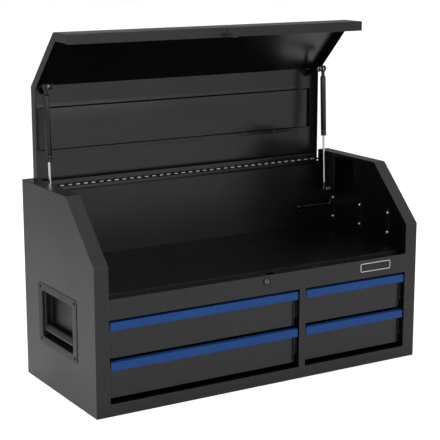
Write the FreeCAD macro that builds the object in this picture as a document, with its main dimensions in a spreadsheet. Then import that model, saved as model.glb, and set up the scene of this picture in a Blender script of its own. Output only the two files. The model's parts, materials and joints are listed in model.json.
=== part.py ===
# Machinist tool chest: a folded-steel top chest with a tool till under a lifting lid,
# two columns of drawers on ball-bearing slides, two gas struts and two side handles.
#
# Frame: +X to the right, +Y to the back, +Z up, millimetres. The origin is the centre
# of the cabinet's base. At rest the lid stands open, square to its closed position, the
# drawers are shut, the handle grips hang flush and the lock is in its open position.
import FreeCAD, Part

import math
import os

import Sketcher
from FreeCAD import Placement, Rotation, Vector

DIMENSIONS = (
    # Cabinet shell
    ("cabinet_width", 914.4, "outside, side to side"),
    ("cabinet_depth", 391.2, "outside, front to back"),
    ("side_height", 492.3, "top of the side panels"),
    ("slope_run", 139.4, "run and rise of the 45 degree slope at the front"),
    ("flange_width", 34.9, "inward flanges of the side panels"),
    ("lip_depth", 10.0, "return lip on those flanges"),
    ("sheet", 1.0, "steel sheet of the cabinet and lid"),
    ("bend_radius", 1.4, "outside radius of the folded edges"),
    ("rail_top", 275.8, "top of the front top rail"),
    ("opening_top", 228.4, "top of the drawer openings"),
    ("opening_bottom", 29.3, "bottom of the drawer openings"),
    ("rail_flange", 15.0, "flanges folded back from the rails"),
    ("rail_ledge", 25.0, "flat of the top rail that the lid's lip closes over"),
    ("floor_step", 5.2, "height of the till floor above the rail"),
    ("floor_flange", 12.0, "down-turned edge of the till floor"),
    ("back_top_drop", 31.7, "from the side tops down to the back panel's top edge"),
    # Drawer columns
    ("narrow_opening", 308.6, "opening of the narrow drawers, at the right"),
    ("mullion_width", 17.6, "front face of the partition"),
    ("slide_recess", 1.7, "slide mounting planes behind the edges of the openings"),
    ("slide_setback", 17.6, "front ends of the slides behind the cabinet's front"),
    ("slide_length", 350.0, "each member of a slide"),
    ("slide_width", 12.7, "cabinet member's back to drawer member's back"),
    ("slide_height", 45.0, "cabinet member"),
    ("slide_sheet", 1.2, "strip that the slide members are rolled from"),
    ("slide_gap", 0.3, "running gap between nested members"),
    ("slide_rise", 42.0, "slide centre above the bottom of a drawer's face"),
    ("member_depth", 9.9, "mounting plane to the lips of a cabinet member"),
    ("middle_start", 3.0, "mounting plane to the back of a middle member"),
    ("middle_depth", 7.9, "middle member, back to lips"),
    ("inner_depth", 6.6, "drawer member, back to lips"),
    # Drawers
    ("drawer_pitch", 94.6, "between the two rows"),
    ("drawer_top_gap", 6.4, "upper drawer below the top rail"),
    ("face_height", 88.4, "drawer face with its pull"),
    ("face_recess", 14.6, "drawer face behind the cabinet's front"),
    ("tray_height", 72.0, "drawer sides"),
    ("tray_length", 350.0, "drawer, face to back"),
    ("drawer_sheet", 0.9, "steel sheet of the drawers"),
    ("tray_hem", 4.0, "hem folded in along the drawer's sides and back"),
    ("pull_height", 20.0, "finger pull"),
    ("pull_wall", 1.8, "section thickness of the pull"),
    ("pull_inset", 1.1, "pull behind the cabinet's front"),
    ("pull_side_gap", 4.0, "pull's ends to the edges of the opening"),
    ("pull_clip", 8.0, "leg of the pull behind the drawer's face"),
    ("pull_radius", 1.5, "rounded front edge of the pull"),
    # Lid
    ("lid_gap", 3.7, "lid's sides to the flanges of the side panels"),
    ("lid_lift", 4.4, "front of the closed lid above the rail"),
    ("lid_flange", 21.0, "side flanges of the lid"),
    ("lid_lip", 24.0, "lip folded in along the lid's front"),
    ("stiffener_start", 88.3, "hinge axis to the stiffener"),
    ("stiffener_width", 104.2, "stiffener, without its flanges"),
    ("stiffener_height", 10.0, "stiffener's stand-off from the lid"),
    ("stiffener_flange", 11.0, "flanges welded to the lid"),
    ("stiffener_end_gap", 12.6, "stiffener's ends to the lid's sides"),
    # Hinge
    ("hinge_drop", 25.3, "hinge axis below the side tops"),
    ("knuckle_radius", 3.0, "outside of the hinge knuckles"),
    ("pin_radius", 1.75, "hinge pin"),
    ("running_gap", 0.05, "radial clearance of pins, rods and the lock plug"),
    ("leaf_thickness", 1.1, "hinge leaves"),
    ("leaf_width", 14.5, "hinge axis to the edge of a leaf"),
    ("leaf_notch", 3.6, "leaves cut back from the axis between their knuckles"),
    ("knuckle_length", 10.5, "one knuckle"),
    ("knuckle_pitch", 21.5, "from a cabinet knuckle to the next lid knuckle"),
    # Gas struts
    ("strut_inset", 16.3, "strut axes inside the edges of the side panels' flanges"),
    ("stud_setback", 54.6, "lower ball in front of the cabinet's back"),
    ("stud_drop", 102.3, "lower ball below the side tops"),
    ("ball_reach", 252.0, "hinge axis to the upper ball, along the lid"),
    ("ball_drop", 34.6, "upper ball inside the level of the hinge axis"),
    ("ball_radius", 5.0, "ball studs"),
    ("ball_flat", 4.0, "middle of a ball stud to its flat end"),
    ("ball_bevel", 1.7, "bevel around those flat ends"),
    ("ball_gap", 0.3, "ball to socket"),
    ("socket_radius", 8.0, "ball socket"),
    ("socket_length", 14.0, "ball socket, along the stud"),
    ("neck_radius", 4.8, "socket neck"),
    ("neck_length", 20.0, "ball centre to the end of the neck"),
    ("rod_radius", 3.0, "strut rod"),
    ("cylinder_radius", 7.5, "strut cylinder"),
    ("cylinder_wall", 0.8, "wall of the cylinder"),
    ("cylinder_length", 162.0, "strut cylinder"),
    ("cylinder_cap", 5.0, "closed ends of the cylinder"),
    ("cylinder_shoulder", 1.2, "bevelled ends of the cylinder"),
    ("piston_gap", 0.3, "piston to cylinder"),
    ("piston_length", 8.0, "piston"),
    ("piston_travel_left", 1.0, "piston to the cylinder's lower end with the lid open"),
    ("stud_radius", 3.0, "shank of the ball studs"),
    ("collar_radius", 6.0, "collar of the ball studs"),
    ("collar_length", 3.0, "collar of the ball studs"),
    ("bracket_sheet", 1.5, "strut brackets"),
    ("bracket_width", 48.0, "lower strut bracket, front to back"),
    ("bracket_foot", 20.0, "foot of the lower bracket on the side panel"),
    ("bracket_ahead", 23.0, "front edge of the lower bracket ahead of its ball"),
    ("bracket_below", 16.0, "lower bracket below its ball"),
    ("tab_gap", 0.3, "upper stud's end to the lid bracket"),
    ("tab_offset", 12.5, "upper ball to the lid bracket"),
    ("tab_setback", 3.0, "lid bracket behind the upper end of the lid's slope"),
    ("tab_length", 26.0, "root of the lid bracket along the lid"),
    ("tab_foot", 11.0, "foot of the lid bracket"),
    ("tab_reach", 8.0, "lid bracket around its ball stud"),
    ("tab_corner", 5.6, "rounded end of the lid bracket"),
    # Lock and striker
    ("lock_drop", 14.8, "lock's centre below the top of the rail"),
    ("bezel_radius", 10.5, "lock's front ring"),
    ("bezel_depth", 2.5, "lock's front ring"),
    ("bezel_bevel", 1.2, "bevel around the lock's front ring"),
    ("lock_radius", 8.0, "lock housing"),
    ("lock_length", 14.6, "lock housing behind the cabinet's front"),
    ("lock_hole_gap", 0.2, "housing to the hole in the rail"),
    ("nut_radius", 11.5, "lock nut"),
    ("nut_thickness", 3.0, "lock nut"),
    ("plug_radius", 6.0, "lock plug"),
    ("plug_recess", 0.6, "plug's face inside the ring"),
    ("key_slot_height", 7.0, "key slot"),
    ("key_slot_width", 2.0, "key slot"),
    ("key_slot_depth", 10.0, "key slot"),
    ("tail_radius", 3.5, "plug's tail, which carries the cam"),
    ("tail_length", 5.5, "plug's tail"),
    ("cam_length", 12.5, "lock axis to the cam's tip"),
    ("cam_heel", 4.8, "lock axis to the cam's other end"),
    ("cam_width", 8.0, "cam"),
    ("cam_thickness", 2.0, "cam"),
    ("striker_near", 8.6, "striker's near edge from the lock axis"),
    ("striker_width", 16.0, "striker"),
    ("striker_sheet", 1.5, "striker"),
    ("striker_toe", 6.0, "toe that the cam holds down"),
    ("striker_foot", 12.0, "foot under the lid's lip"),
    ("striker_gap", 0.5, "cam to the striker's toe"),
    ("slot_margin", 3.0, "striker to the ends of its slot in the rail"),
    ("slot_front", 2.6, "striker slot behind the cabinet's front"),
    ("slot_depth", 18.0, "striker slot, front to back"),
    # Side handles
    ("handle_centre_y", 8.5, "handle, behind the middle"),
    ("handle_centre_z", 180.0, "handle"),
    ("plate_length", 216.0, "handle plate"),
    ("plate_height", 152.0, "handle plate"),
    ("plate_thickness", 1.2, "handle plate"),
    ("plate_corner", 8.0, "corner radius of the handle plate"),
    ("recess_length", 172.0, "handle recess"),
    ("recess_height", 116.0, "handle recess"),
    ("recess_depth", 26.0, "recess behind the side panel's outside"),
    ("recess_corner", 6.0, "corner radius of the recess"),
    ("cutout_gap", 0.5, "recess to the hole in the side panel"),
    ("rivet_span_y", 189.0, "rivets, front to back"),
    ("rivet_span_z", 131.0, "rivets, top to bottom"),
    ("rivet_head_radius", 4.0, "rivet head"),
    ("rivet_head_height", 1.8, "rivet head"),
    ("grip_gap", 2.0, "grip to the sides of the recess"),
    ("grip_pivot_drop", 9.0, "pivots below the recess top"),
    ("grip_pivot_depth", 7.5, "pivots behind the side panel's outside"),
    ("grip_arm", 8.0, "arms of the grip, square"),
    ("grip_rise", 14.5, "underside of the grip above the recess bottom"),
    ("grip_bar_height", 16.0, "hand bar"),
    ("grip_bar_depth", 13.0, "hand bar"),
    ("grip_edge_radius", 3.0, "rounded edges of the hand bar"),
    ("trunnion_radius", 2.5, "pivots of the grip"),
    ("trunnion_length", 5.0, "pivots of the grip beyond its arms"),
    # Fittings in the till
    ("strap_pitch", 121.8, "between the wall straps"),
    ("strap_first_y", 44.4, "middle strap"),
    ("strap_width", 16.0, "wall strap"),
    ("strap_thickness", 1.5, "wall strap"),
    ("strap_margin", 11.0, "strap's ends beyond its screws"),
    ("screw_low_z", 305.4, "lower screws"),
    ("screw_span", 52.8, "lower to upper screw"),
    ("screw_head_radius", 4.2, "screw head"),
    ("screw_head_height", 2.6, "screw head"),
    ("tube_drop", 36.0, "corner tube below the strut bracket"),
    ("tube_radius", 5.0, "corner tube"),
    ("tube_wall", 1.2, "corner tube"),
    ("tube_length", 110.0, "corner tube"),
    ("tube_standoff", 9.5, "corner tube's axis in front of the back panel"),
    ("wall_plate_width", 17.0, "tube's plate on the side panel, front to back"),
    ("wall_plate_height", 28.0, "tube's plate on the side panel"),
    ("wall_plate_thickness", 2.5, "tube's plate on the side panel"),
    ("hub_length", 8.0, "hub on that plate"),
    ("clip_width", 12.0, "clip on the back panel"),
    ("clip_sheet", 2.0, "clip"),
    ("clip_wing", 15.0, "clip's screw wing"),
)

NORMAL_SIGN = {"XY": 1, "XZ": -1, "YZ": 1}
LEFT = -1
RIGHT = 1
BOTH_WAYS = 0
CLOSE = 1e-4
# Small rolled or turned parts are drawn with this many flats
KNUCKLE_SIDES = 8
ROUND_SIDES = 12
BORE_SIDES = 8
HEXAGON = 6
# A cut that only has to pass a sheet is this many times as deep as the sheet
THROUGH = 4
# An inset corner between a straight edge and one at 45 degrees moves by this share.
MITRE = math.tan(math.pi / 8)


class Size:
    """A length or angle held as a number and as the sheet expression that gives it."""

    def __init__(self, value, text):
        self.value = float(value)
        self.text = text

    def __add__(self, other):
        other = as_size(other)
        return Size(self.value + other.value, f"({self.text} + {other.text})")

    def __sub__(self, other):
        other = as_size(other)
        return Size(self.value - other.value, f"({self.text} - {other.text})")

    def __mul__(self, other):
        other = as_size(other)
        return Size(self.value * other.value, f"({self.text} * {other.text})")

    def __truediv__(self, other):
        other = as_size(other)
        return Size(self.value / other.value, f"({self.text} / {other.text})")

    def __neg__(self):
        return Size(-self.value, f"(-1 * {self.text})")

    def __rsub__(self, other):
        return as_size(other) - self

    __radd__ = __add__
    __rmul__ = __mul__


def as_size(value):
    """Gives a plain number the form of a Size."""
    return value if isinstance(value, Size) else Size(value, f"({value})")


def root(size):
    """The square root of a size."""
    return Size(math.sqrt(size.value), f"sqrt({size.text})")


def arctangent(ratio):
    """The angle, in degrees, whose tangent is the ratio."""
    return Size(math.degrees(math.atan(ratio.value)), f"atan({ratio.text})")


class Dimensions:
    """The sheet of driving dimensions, each readable as an attribute of its own name."""

    def __init__(self, document):
        sheet = document.addObject("Spreadsheet::Sheet", "Sizes")
        for row, (name, value, meaning) in enumerate(DIMENSIONS, 1):
            sheet.set(f"A{row}", name)
            sheet.set(f"B{row}", str(value))
            sheet.set(f"C{row}", meaning)
            sheet.setAlias(f"B{row}", name)
            setattr(self, name, Size(value, f"Sizes.{name}"))
        document.recompute()


doc = FreeCAD.newDocument("ToolChest")
dim = Dimensions(doc)

# Planes and lengths that several pieces share
half_width = dim.cabinet_width / 2
half_depth = dim.cabinet_depth / 2
front = -half_depth
wall_inside = half_width - dim.sheet
post_edge = half_width - dim.flange_width
front_height = dim.side_height - dim.slope_run
slope_top_y = front + dim.slope_run
back_inside = half_depth - 2 * dim.sheet
floor_top = dim.rail_top + dim.floor_step
floor_front = front + dim.rail_ledge
carrier_top = floor_top - dim.floor_flange
slide_plane = post_edge + dim.slide_recess
mullion_right = post_edge - dim.narrow_opening
mullion_left = mullion_right - dim.mullion_width
partition_left = mullion_left + dim.slide_recess
partition_right = mullion_right - dim.slide_recess
slide_front = front + dim.slide_setback
face_front = front + dim.face_recess
hinge_y = back_inside - dim.knuckle_radius
hinge_z = dim.side_height - dim.hinge_drop
lid_half_width = post_edge - dim.lid_gap
strut_x = post_edge - dim.strut_inset
lock_height = dim.rail_top - dim.lock_drop
lower_ball_y = half_depth - dim.stud_setback
lower_ball_z = dim.side_height - dim.stud_drop
upper_ball_y = hinge_y - dim.ball_drop
upper_ball_z = hinge_z + dim.ball_reach
strut_rise = upper_ball_z - lower_ball_z
strut_run = upper_ball_y - lower_ball_y
strut_length = root(strut_rise * strut_rise + strut_run * strut_run)


def bind(target, path, size):
    """Ties one property of an object to a size."""
    target.setExpression(path, as_size(size).text)


def new_body(label):
    """An empty body, which may hold several separate solids."""
    body = doc.addObject("PartDesign::Body", label)
    body.Label = label
    body.AllowCompound = True
    return body


def own_datum(body, role):
    """A plane or axis of the body's own origin."""
    return next(datum for datum in body.Origin.OriginFeatures if datum.Role == role)


def place(body, x=0, y=0, z=0, axis=None, angle=0):
    """Moves a body, turned about the axis first."""
    if axis is not None:
        body.Placement = Placement(Vector(), Rotation(axis, as_size(angle).value))
        bind(body, "Placement.Rotation.Angle", angle)
    for name, size in (("x", x), ("y", y), ("z", z)):
        bind(body, f"Placement.Base.{name}", size)
    return body


class Section:
    """A sketch on one of a body's own planes, with features made from it."""

    def __init__(self, body, plane, offset=0):
        self.body = body
        self.normal = NORMAL_SIGN[plane]
        self.sketch = body.newObject("Sketcher::SketchObject", "Sketch")
        self.sketch.AttachmentSupport = (own_datum(body, f"{plane}_Plane"), [""])
        self.sketch.MapMode = "FlatFace"
        bind(self.sketch, "AttachmentOffset.Base.z", as_size(offset) * self.normal)

    def _fix_point(self, geometry, point, across, up):
        for kind, size in (("DistanceX", as_size(across)), ("DistanceY", as_size(up))):
            rule = Sketcher.Constraint(kind, -1, 1, geometry, point, size.value)
            number = self.sketch.addConstraint(rule)
            self.sketch.setExpression(f"Constraints[{number}]", size.text)

    def polygon(self, corners):
        """Adds a closed outline of straight lines, each corner placed by its sizes."""
        points = [Vector(as_size(a).value, as_size(b).value, 0) for a, b in corners]
        first = self.sketch.GeometryCount
        count = len(points)
        for index, point in enumerate(points):
            self.sketch.addGeometry(Part.LineSegment(point, points[(index + 1) % count]))
        for index in range(count):
            following = first + (index + 1) % count
            self.sketch.addConstraint(
                Sketcher.Constraint("Coincident", first + index, 2, following, 1))
        for index, (across, up) in enumerate(corners):
            self._fix_point(first + index, 1, across, up)
        return self

    def rectangle(self, left, right, bottom, top):
        """Adds an upright rectangle."""
        return self.polygon([(left, bottom), (right, bottom), (right, top), (left, top)])

    def circle(self, across, up, radius):
        """Adds a circle."""
        centre = Vector(as_size(across).value, as_size(up).value, 0)
        radius = as_size(radius)
        circle = self.sketch.addGeometry(Part.Circle(centre, Vector(0, 0, 1), radius.value))
        number = self.sketch.addConstraint(
            Sketcher.Constraint("Radius", circle, radius.value))
        self.sketch.setExpression(f"Constraints[{number}]", radius.text)
        self._fix_point(circle, 3, across, up)
        return self

    def flats(self, across, up, radius, sides, outside=False):
        """Adds a regular outline inside the circle, or outside it, as a bore needs."""
        reach = as_size(radius) / (math.cos(math.pi / sides) if outside else 1)
        turns = [2 * math.pi * index / sides for index in range(sides)]
        return self.polygon([(across + reach * round(math.cos(turn), 9),
                              up + reach * round(math.sin(turn), 9)) for turn in turns])

    def _finish(self, feature, length, toward, reversed_when):
        feature.Profile = self.sketch
        if toward == BOTH_WAYS:
            feature.Midplane = True
        else:
            feature.Reversed = (toward == self.normal) == reversed_when
        bind(feature, "Length", length)
        return feature

    def pad(self, length, toward=BOTH_WAYS):
        """Adds the section's material, up or down its axis or half each way."""
        feature = self.body.newObject("PartDesign::Pad", "Pad")
        return self._finish(feature, length, toward, False)

    def cut(self, length, toward=BOTH_WAYS):
        """Takes the section's material away."""
        feature = self.body.newObject("PartDesign::Pocket", "Pocket")
        return self._finish(feature, length, toward, True)

    def turn(self):
        """Revolves the section about its upright axis."""
        feature = self.body.newObject("PartDesign::Revolution", "Revolution")
        feature.Profile = self.sketch
        feature.ReferenceAxis = (self.sketch, ["V_Axis"])
        feature.Angle = 360
        return feature


def repeat(body, features, axis, spacing, count):
    """Repeats features in a row along one of the body's axes."""
    pattern = body.newObject("PartDesign::LinearPattern", "Pattern")
    pattern.Originals = features
    pattern.Direction = (own_datum(body, f"{axis}_Axis"), [""])
    pattern.Mode = "Spacing"
    bind(pattern, "Offset", spacing)
    pattern.Occurrences = count
    body.Tip = pattern


def dress(body, kind, size_name, size, chosen):
    """Adds a fillet or chamfer to the chosen edges of the body's last feature."""
    doc.recompute()
    base = body.Tip
    names = [f"Edge{number}" for number, edge in enumerate(base.Shape.Edges, 1)
             if chosen(edge)]
    feature = body.newObject(f"PartDesign::{kind}", kind)
    feature.Base = (base, names)
    bind(feature, size_name, size)


def fillet(body, radius, chosen):
    """Rounds the chosen edges."""
    dress(body, "Fillet", "Radius", radius, chosen)


def chamfer(body, size, chosen):
    """Bevels the chosen edges."""
    dress(body, "Chamfer", "Size", size, chosen)


def runs_along(edge, direction):
    """Whether an edge is straight and parallel to the direction."""
    if not isinstance(edge.Curve, Part.Line):
        return False
    return edge.tangentAt(edge.FirstParameter).cross(Vector(*direction)).Length < CLOSE


def is_circle(edge, radius):
    """Whether an edge is an arc or circle of the radius."""
    return isinstance(edge.Curve, Part.Circle) and abs(edge.Curve.Radius - radius.value) < CLOSE


def near(value, size):
    """Whether a coordinate lies at a size."""
    return abs(value - as_size(size).value) < CLOSE


# ---------------------------------------------------------------- cabinet shell


def inset_profile(inset, rear, bottom):
    """The side profile's front, slope and top moved inwards, closed at rear and bottom."""
    return [
        (front + inset, bottom),
        (rear, bottom),
        (rear, dim.side_height - inset),
        (slope_top_y + MITRE * inset, dim.side_height - inset),
        (front + inset, front_height - MITRE * inset),
    ]


def make_side_panel(label, side):
    """A side wall folded inwards along every edge, with return lips at the front and top."""
    body = new_body(label)
    wall = side * half_width
    flange_edge = side * post_edge
    profile = inset_profile(as_size(0), half_depth, as_size(0))
    Section(body, "YZ", wall).polygon(profile).pad(dim.flange_width, -side)
    hollow = inset_profile(dim.sheet, half_depth - dim.sheet, dim.sheet)
    Section(body, "YZ", flange_edge).polygon(hollow).cut(dim.flange_width - dim.sheet, side)
    lip = [
        (front, dim.sheet),
        (front, front_height),
        (slope_top_y, dim.side_height),
        (half_depth, dim.side_height),
        (half_depth, dim.side_height - dim.lip_depth),
        (slope_top_y + MITRE * dim.lip_depth, dim.side_height - dim.lip_depth),
        (front + dim.lip_depth, front_height - MITRE * dim.lip_depth),
        (front + dim.lip_depth, dim.sheet),
    ]
    Section(body, "YZ", flange_edge).polygon(lip).pad(dim.sheet, side)
    half_length = dim.recess_length / 2 + dim.cutout_gap
    half_height = dim.recess_height / 2 + dim.cutout_gap
    Section(body, "YZ", wall).rectangle(
        dim.handle_centre_y - half_length,
        dim.handle_centre_y + half_length,
        dim.handle_centre_z - half_height,
        dim.handle_centre_z + half_height,
    ).cut(THROUGH * dim.sheet)

    def folded(edge):
        middle = edge.BoundBox.Center
        at_wall = near(middle.x, wall)
        return at_wall and edge.Length > dim.slope_run.value and middle.z > dim.sheet.value and (
            near(middle.y, front) or near(middle.z, dim.side_height)
            or near(middle.z - middle.y, dim.side_height - slope_top_y))

    fillet(body, dim.bend_radius, folded)
    return body


def make_back_panel():
    """The plain sheet that closes the back below the hinge."""
    panel = doc.addObject("Part::Box", "back_panel")
    bind(panel, "Length", 2 * wall_inside)
    bind(panel, "Width", dim.sheet)
    bind(panel, "Height", dim.side_height - dim.back_top_drop - dim.sheet)
    return place(panel, -wall_inside, back_inside, dim.sheet)


def make_bottom_panel():
    """The sheet between the bottom flanges, level with their undersides."""
    panel = doc.addObject("Part::Box", "bottom_panel")
    bind(panel, "Length", 2 * post_edge)
    bind(panel, "Width", half_depth - dim.sheet - (front + dim.rail_flange))
    bind(panel, "Height", dim.sheet)
    return place(panel, -post_edge, front + dim.rail_flange)


def make_till_floor():
    """The till's floor, a sheet with every edge turned down."""
    body = new_body("till_floor")
    Section(body, "XY", floor_top).rectangle(
        -wall_inside, wall_inside, floor_front, back_inside).pad(dim.floor_flange, -1)
    Section(body, "XY", floor_top - dim.floor_flange).rectangle(
        -(wall_inside - dim.sheet), wall_inside - dim.sheet,
        floor_front + dim.sheet, back_inside - dim.sheet,
    ).cut(dim.floor_flange - dim.sheet, 1)
    return body


def make_top_rail():
    """The front rail above the drawers, pierced for the lock and the lid's striker."""
    body = new_body("front_top_rail")
    Section(body, "YZ").polygon([
        (front, dim.opening_top),
        (front + dim.rail_flange, dim.opening_top),
        (front + dim.rail_flange, dim.opening_top + dim.sheet),
        (front + dim.sheet, dim.opening_top + dim.sheet),
        (front + dim.sheet, dim.rail_top - dim.sheet),
        (floor_front, dim.rail_top - dim.sheet),
        (floor_front, dim.rail_top),
        (front, dim.rail_top),
    ]).pad(2 * post_edge)
    Section(body, "XZ", front).circle(
        0, lock_height, dim.lock_radius + dim.lock_hole_gap).cut(THROUGH * dim.sheet)
    Section(body, "XY", dim.rail_top).rectangle(
        dim.striker_near - dim.slot_margin,
        dim.striker_near + dim.striker_width + dim.slot_margin,
        front + dim.slot_front,
        front + dim.slot_front + dim.slot_depth,
    ).cut(THROUGH * dim.sheet)
    return body


def make_bottom_rail():
    """The front rail below the drawers, a channel open to the back."""
    body = new_body("front_bottom_rail")
    Section(body, "YZ").polygon([
        (front, 0),
        (front + dim.rail_flange, 0),
        (front + dim.rail_flange, dim.sheet),
        (front + dim.sheet, dim.sheet),
        (front + dim.sheet, dim.opening_bottom - dim.sheet),
        (front + dim.rail_flange, dim.opening_bottom - dim.sheet),
        (front + dim.rail_flange, dim.opening_bottom),
        (front, dim.opening_bottom),
    ]).pad(2 * post_edge)
    return body


def make_partition():
    """The upright between the drawer columns: a front channel and two slide walls."""
    body = new_body("drawer_partition")
    channel_back = front + dim.rail_flange
    Section(body, "XY", dim.opening_bottom).polygon([
        (mullion_left, front),
        (mullion_right, front),
        (mullion_right, channel_back),
        (mullion_right - dim.sheet, channel_back),
        (mullion_right - dim.sheet, front + dim.sheet),
        (mullion_left + dim.sheet, front + dim.sheet),
        (mullion_left + dim.sheet, channel_back),
        (mullion_left, channel_back),
    ]).pad(dim.opening_top - dim.opening_bottom, 1)
    Section(body, "XY", dim.sheet).polygon([
        (partition_left, channel_back),
        (partition_right, channel_back),
        (partition_right, back_inside),
        (partition_right - dim.sheet, back_inside),
        (partition_right - dim.sheet, channel_back + dim.sheet),
        (partition_left + dim.sheet, channel_back + dim.sheet),
        (partition_left + dim.sheet, back_inside),
        (partition_left, back_inside),
    ]).pad(carrier_top - dim.sheet, 1)
    Section(body, "XY", dim.opening_bottom).rectangle(
        mullion_left, mullion_right, channel_back - dim.sheet, channel_back
    ).pad(dim.opening_top - dim.opening_bottom, 1)
    return body


def make_slide_carriers():
    """Two channels that carry the outer slides clear of the side panels."""
    body = new_body("slide_carriers")
    section = Section(body, "XY", dim.sheet)
    back = slide_front + dim.slide_length
    for side in (LEFT, RIGHT):
        near_face = side * slide_plane
        far_face = side * (slide_plane + dim.sheet)
        wall = side * wall_inside
        section.polygon([
            (near_face, slide_front),
            (wall, slide_front),
            (wall, slide_front + dim.sheet),
            (far_face, slide_front + dim.sheet),
            (far_face, back - dim.sheet),
            (wall, back - dim.sheet),
            (wall, back),
            (near_face, back),
        ])
    section.pad(carrier_top - dim.sheet, 1)
    return body


# ---------------------------------------------------------------- drawers and slides


class Column:
    """One column of drawers: where its slide planes and the edges of its opening are."""

    def __init__(self, name, slide_left, slide_right, opening_left, opening_right):
        self.name = name
        self.slide_left = slide_left
        self.slide_right = slide_right
        self.opening_left = opening_left
        self.opening_right = opening_right
        self.tray_left = slide_left + dim.slide_width
        self.tray_right = slide_right - dim.slide_width


COLUMNS = (
    Column("wide", -slide_plane, partition_left, -post_edge, mullion_left),
    Column("narrow", partition_right, slide_plane, mullion_right, post_edge),
)
ROWS = (("upper", 0), ("lower", 1))


def face_bottom(row):
    """Height of the bottom edge of a drawer's face."""
    return dim.opening_top - dim.drawer_top_gap - dim.face_height - row * dim.drawer_pitch


def channel(section, back, toward, depth, half_height, centre):
    """Adds a C-shaped section, its back at one plane and its flanges to one side."""
    lip = back + toward * depth
    inside = back + toward * dim.slide_sheet
    inner = half_height - dim.slide_sheet
    section.polygon([
        (back, centre - half_height),
        (lip, centre - half_height),
        (lip, centre - inner),
        (inside, centre - inner),
        (inside, centre + inner),
        (lip, centre + inner),
        (lip, centre + half_height),
        (back, centre + half_height),
    ])


slide_half = dim.slide_height / 2
middle_half = slide_half - dim.slide_sheet - dim.slide_gap
inner_half = middle_half - dim.slide_sheet - dim.slide_gap


def make_cabinet_members():
    """The fixed slide members of all the drawers."""
    body = new_body("slide_cabinet_members")
    section = Section(body, "XZ", slide_front)
    for column in COLUMNS:
        for _, row in ROWS:
            centre = face_bottom(row) + dim.slide_rise
            channel(section, column.slide_left, 1, dim.member_depth, slide_half, centre)
            channel(section, column.slide_right, -1, dim.member_depth, slide_half, centre)
    section.pad(dim.slide_length, 1)
    return body


def make_middle_members(label, column, row):
    """The two middle members of one drawer's slides."""
    body = new_body(label)
    section = Section(body, "XZ", slide_front)
    centre = face_bottom(row) + dim.slide_rise
    left = column.slide_left + dim.middle_start
    right = column.slide_right - dim.middle_start
    channel(section, left, 1, dim.middle_depth, middle_half, centre)
    channel(section, right, -1, dim.middle_depth, middle_half, centre)
    section.pad(dim.slide_length, 1)
    return body


def make_drawer_members(label, column, row):
    """The two slide members that are fixed to one drawer."""
    body = new_body(label)
    section = Section(body, "XZ", slide_front)
    centre = face_bottom(row) + dim.slide_rise
    channel(section, column.tray_left, -1, dim.inner_depth, inner_half, centre)
    channel(section, column.tray_right, 1, dim.inner_depth, inner_half, centre)
    section.pad(dim.slide_length, 1)
    return body


def make_tray(label, column, row):
    """A drawer folded from sheet: face, sides, back and bottom, hemmed along its rim."""
    body = new_body(label)
    skin = dim.drawer_sheet
    left = column.tray_left
    right = column.tray_right
    bottom = face_bottom(row)
    rim = bottom + dim.tray_height
    back = face_front + dim.tray_length
    Section(body, "XY", bottom).rectangle(left, right, face_front, back).pad(
        dim.tray_height, 1)
    Section(body, "XY", rim).rectangle(
        left + skin + dim.tray_hem, right - skin - dim.tray_hem,
        face_front + skin, back - skin - dim.tray_hem,
    ).cut(dim.tray_height - skin, -1)
    Section(body, "XY", rim - skin).rectangle(
        left + skin, right - skin, face_front + skin, back - skin,
    ).cut(dim.tray_height - 2 * skin, -1)
    Section(body, "XZ", face_front).rectangle(
        left, right, bottom, bottom + dim.face_height - dim.pull_wall).pad(skin, 1)
    return body


def make_pull(label, column, row):
    """The full-width finger pull that clips over the top edge of a drawer's face."""
    body = new_body(label)
    wall = dim.pull_wall
    lip_front = front + dim.pull_inset
    top = face_bottom(row) + dim.face_height
    clip_front = face_front + dim.drawer_sheet
    left = column.opening_left + dim.pull_side_gap
    right = column.opening_right - dim.pull_side_gap
    Section(body, "YZ", left).polygon([
        (lip_front, top - dim.pull_height),
        (lip_front + wall, top - dim.pull_height),
        (lip_front + wall, top - wall),
        (face_front - wall, top - wall),
        (face_front - wall, top - dim.pull_height),
        (face_front, top - dim.pull_height),
        (face_front, top - wall),
        (clip_front, top - wall),
        (clip_front, top - dim.pull_clip),
        (clip_front + wall, top - dim.pull_clip),
        (clip_front + wall, top),
        (lip_front, top),
    ]).pad(right - left, 1)

    def front_edge(edge):
        middle = edge.BoundBox.Center
        return runs_along(edge, (1, 0, 0)) and near(middle.y, lip_front) and near(middle.z, top)

    fillet(body, dim.pull_radius, front_edge)
    return body


# ---------------------------------------------------------------- lid and hinge

# The lid's pieces are drawn closed, with the hinge axis as their own X axis: Y is the
# distance behind it and Z the height above it. They stand open, turned back about it.
lid_back = dim.knuckle_radius + dim.sheet
lid_top = dim.hinge_drop
lid_slope_top = slope_top_y - hinge_y
lid_front = front - hinge_y
lid_slope_bottom = front_height - hinge_z
lid_bottom = dim.rail_top + dim.lid_lift - hinge_z
lid_inside = lid_top - dim.sheet


def stand_open(body):
    """Puts a piece drawn for the closed lid where it is with the lid open."""
    return place(body, 0, hinge_y, hinge_z, Vector(1, 0, 0), -90)


def lid_profile(inset):
    """The lid's outline from its back to its lower front edge, moved inwards."""
    return [
        (lid_back - inset, lid_top - inset),
        (lid_slope_top + MITRE * inset, lid_top - inset),
        (lid_front + inset, lid_slope_bottom - MITRE * inset),
    ]


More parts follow.
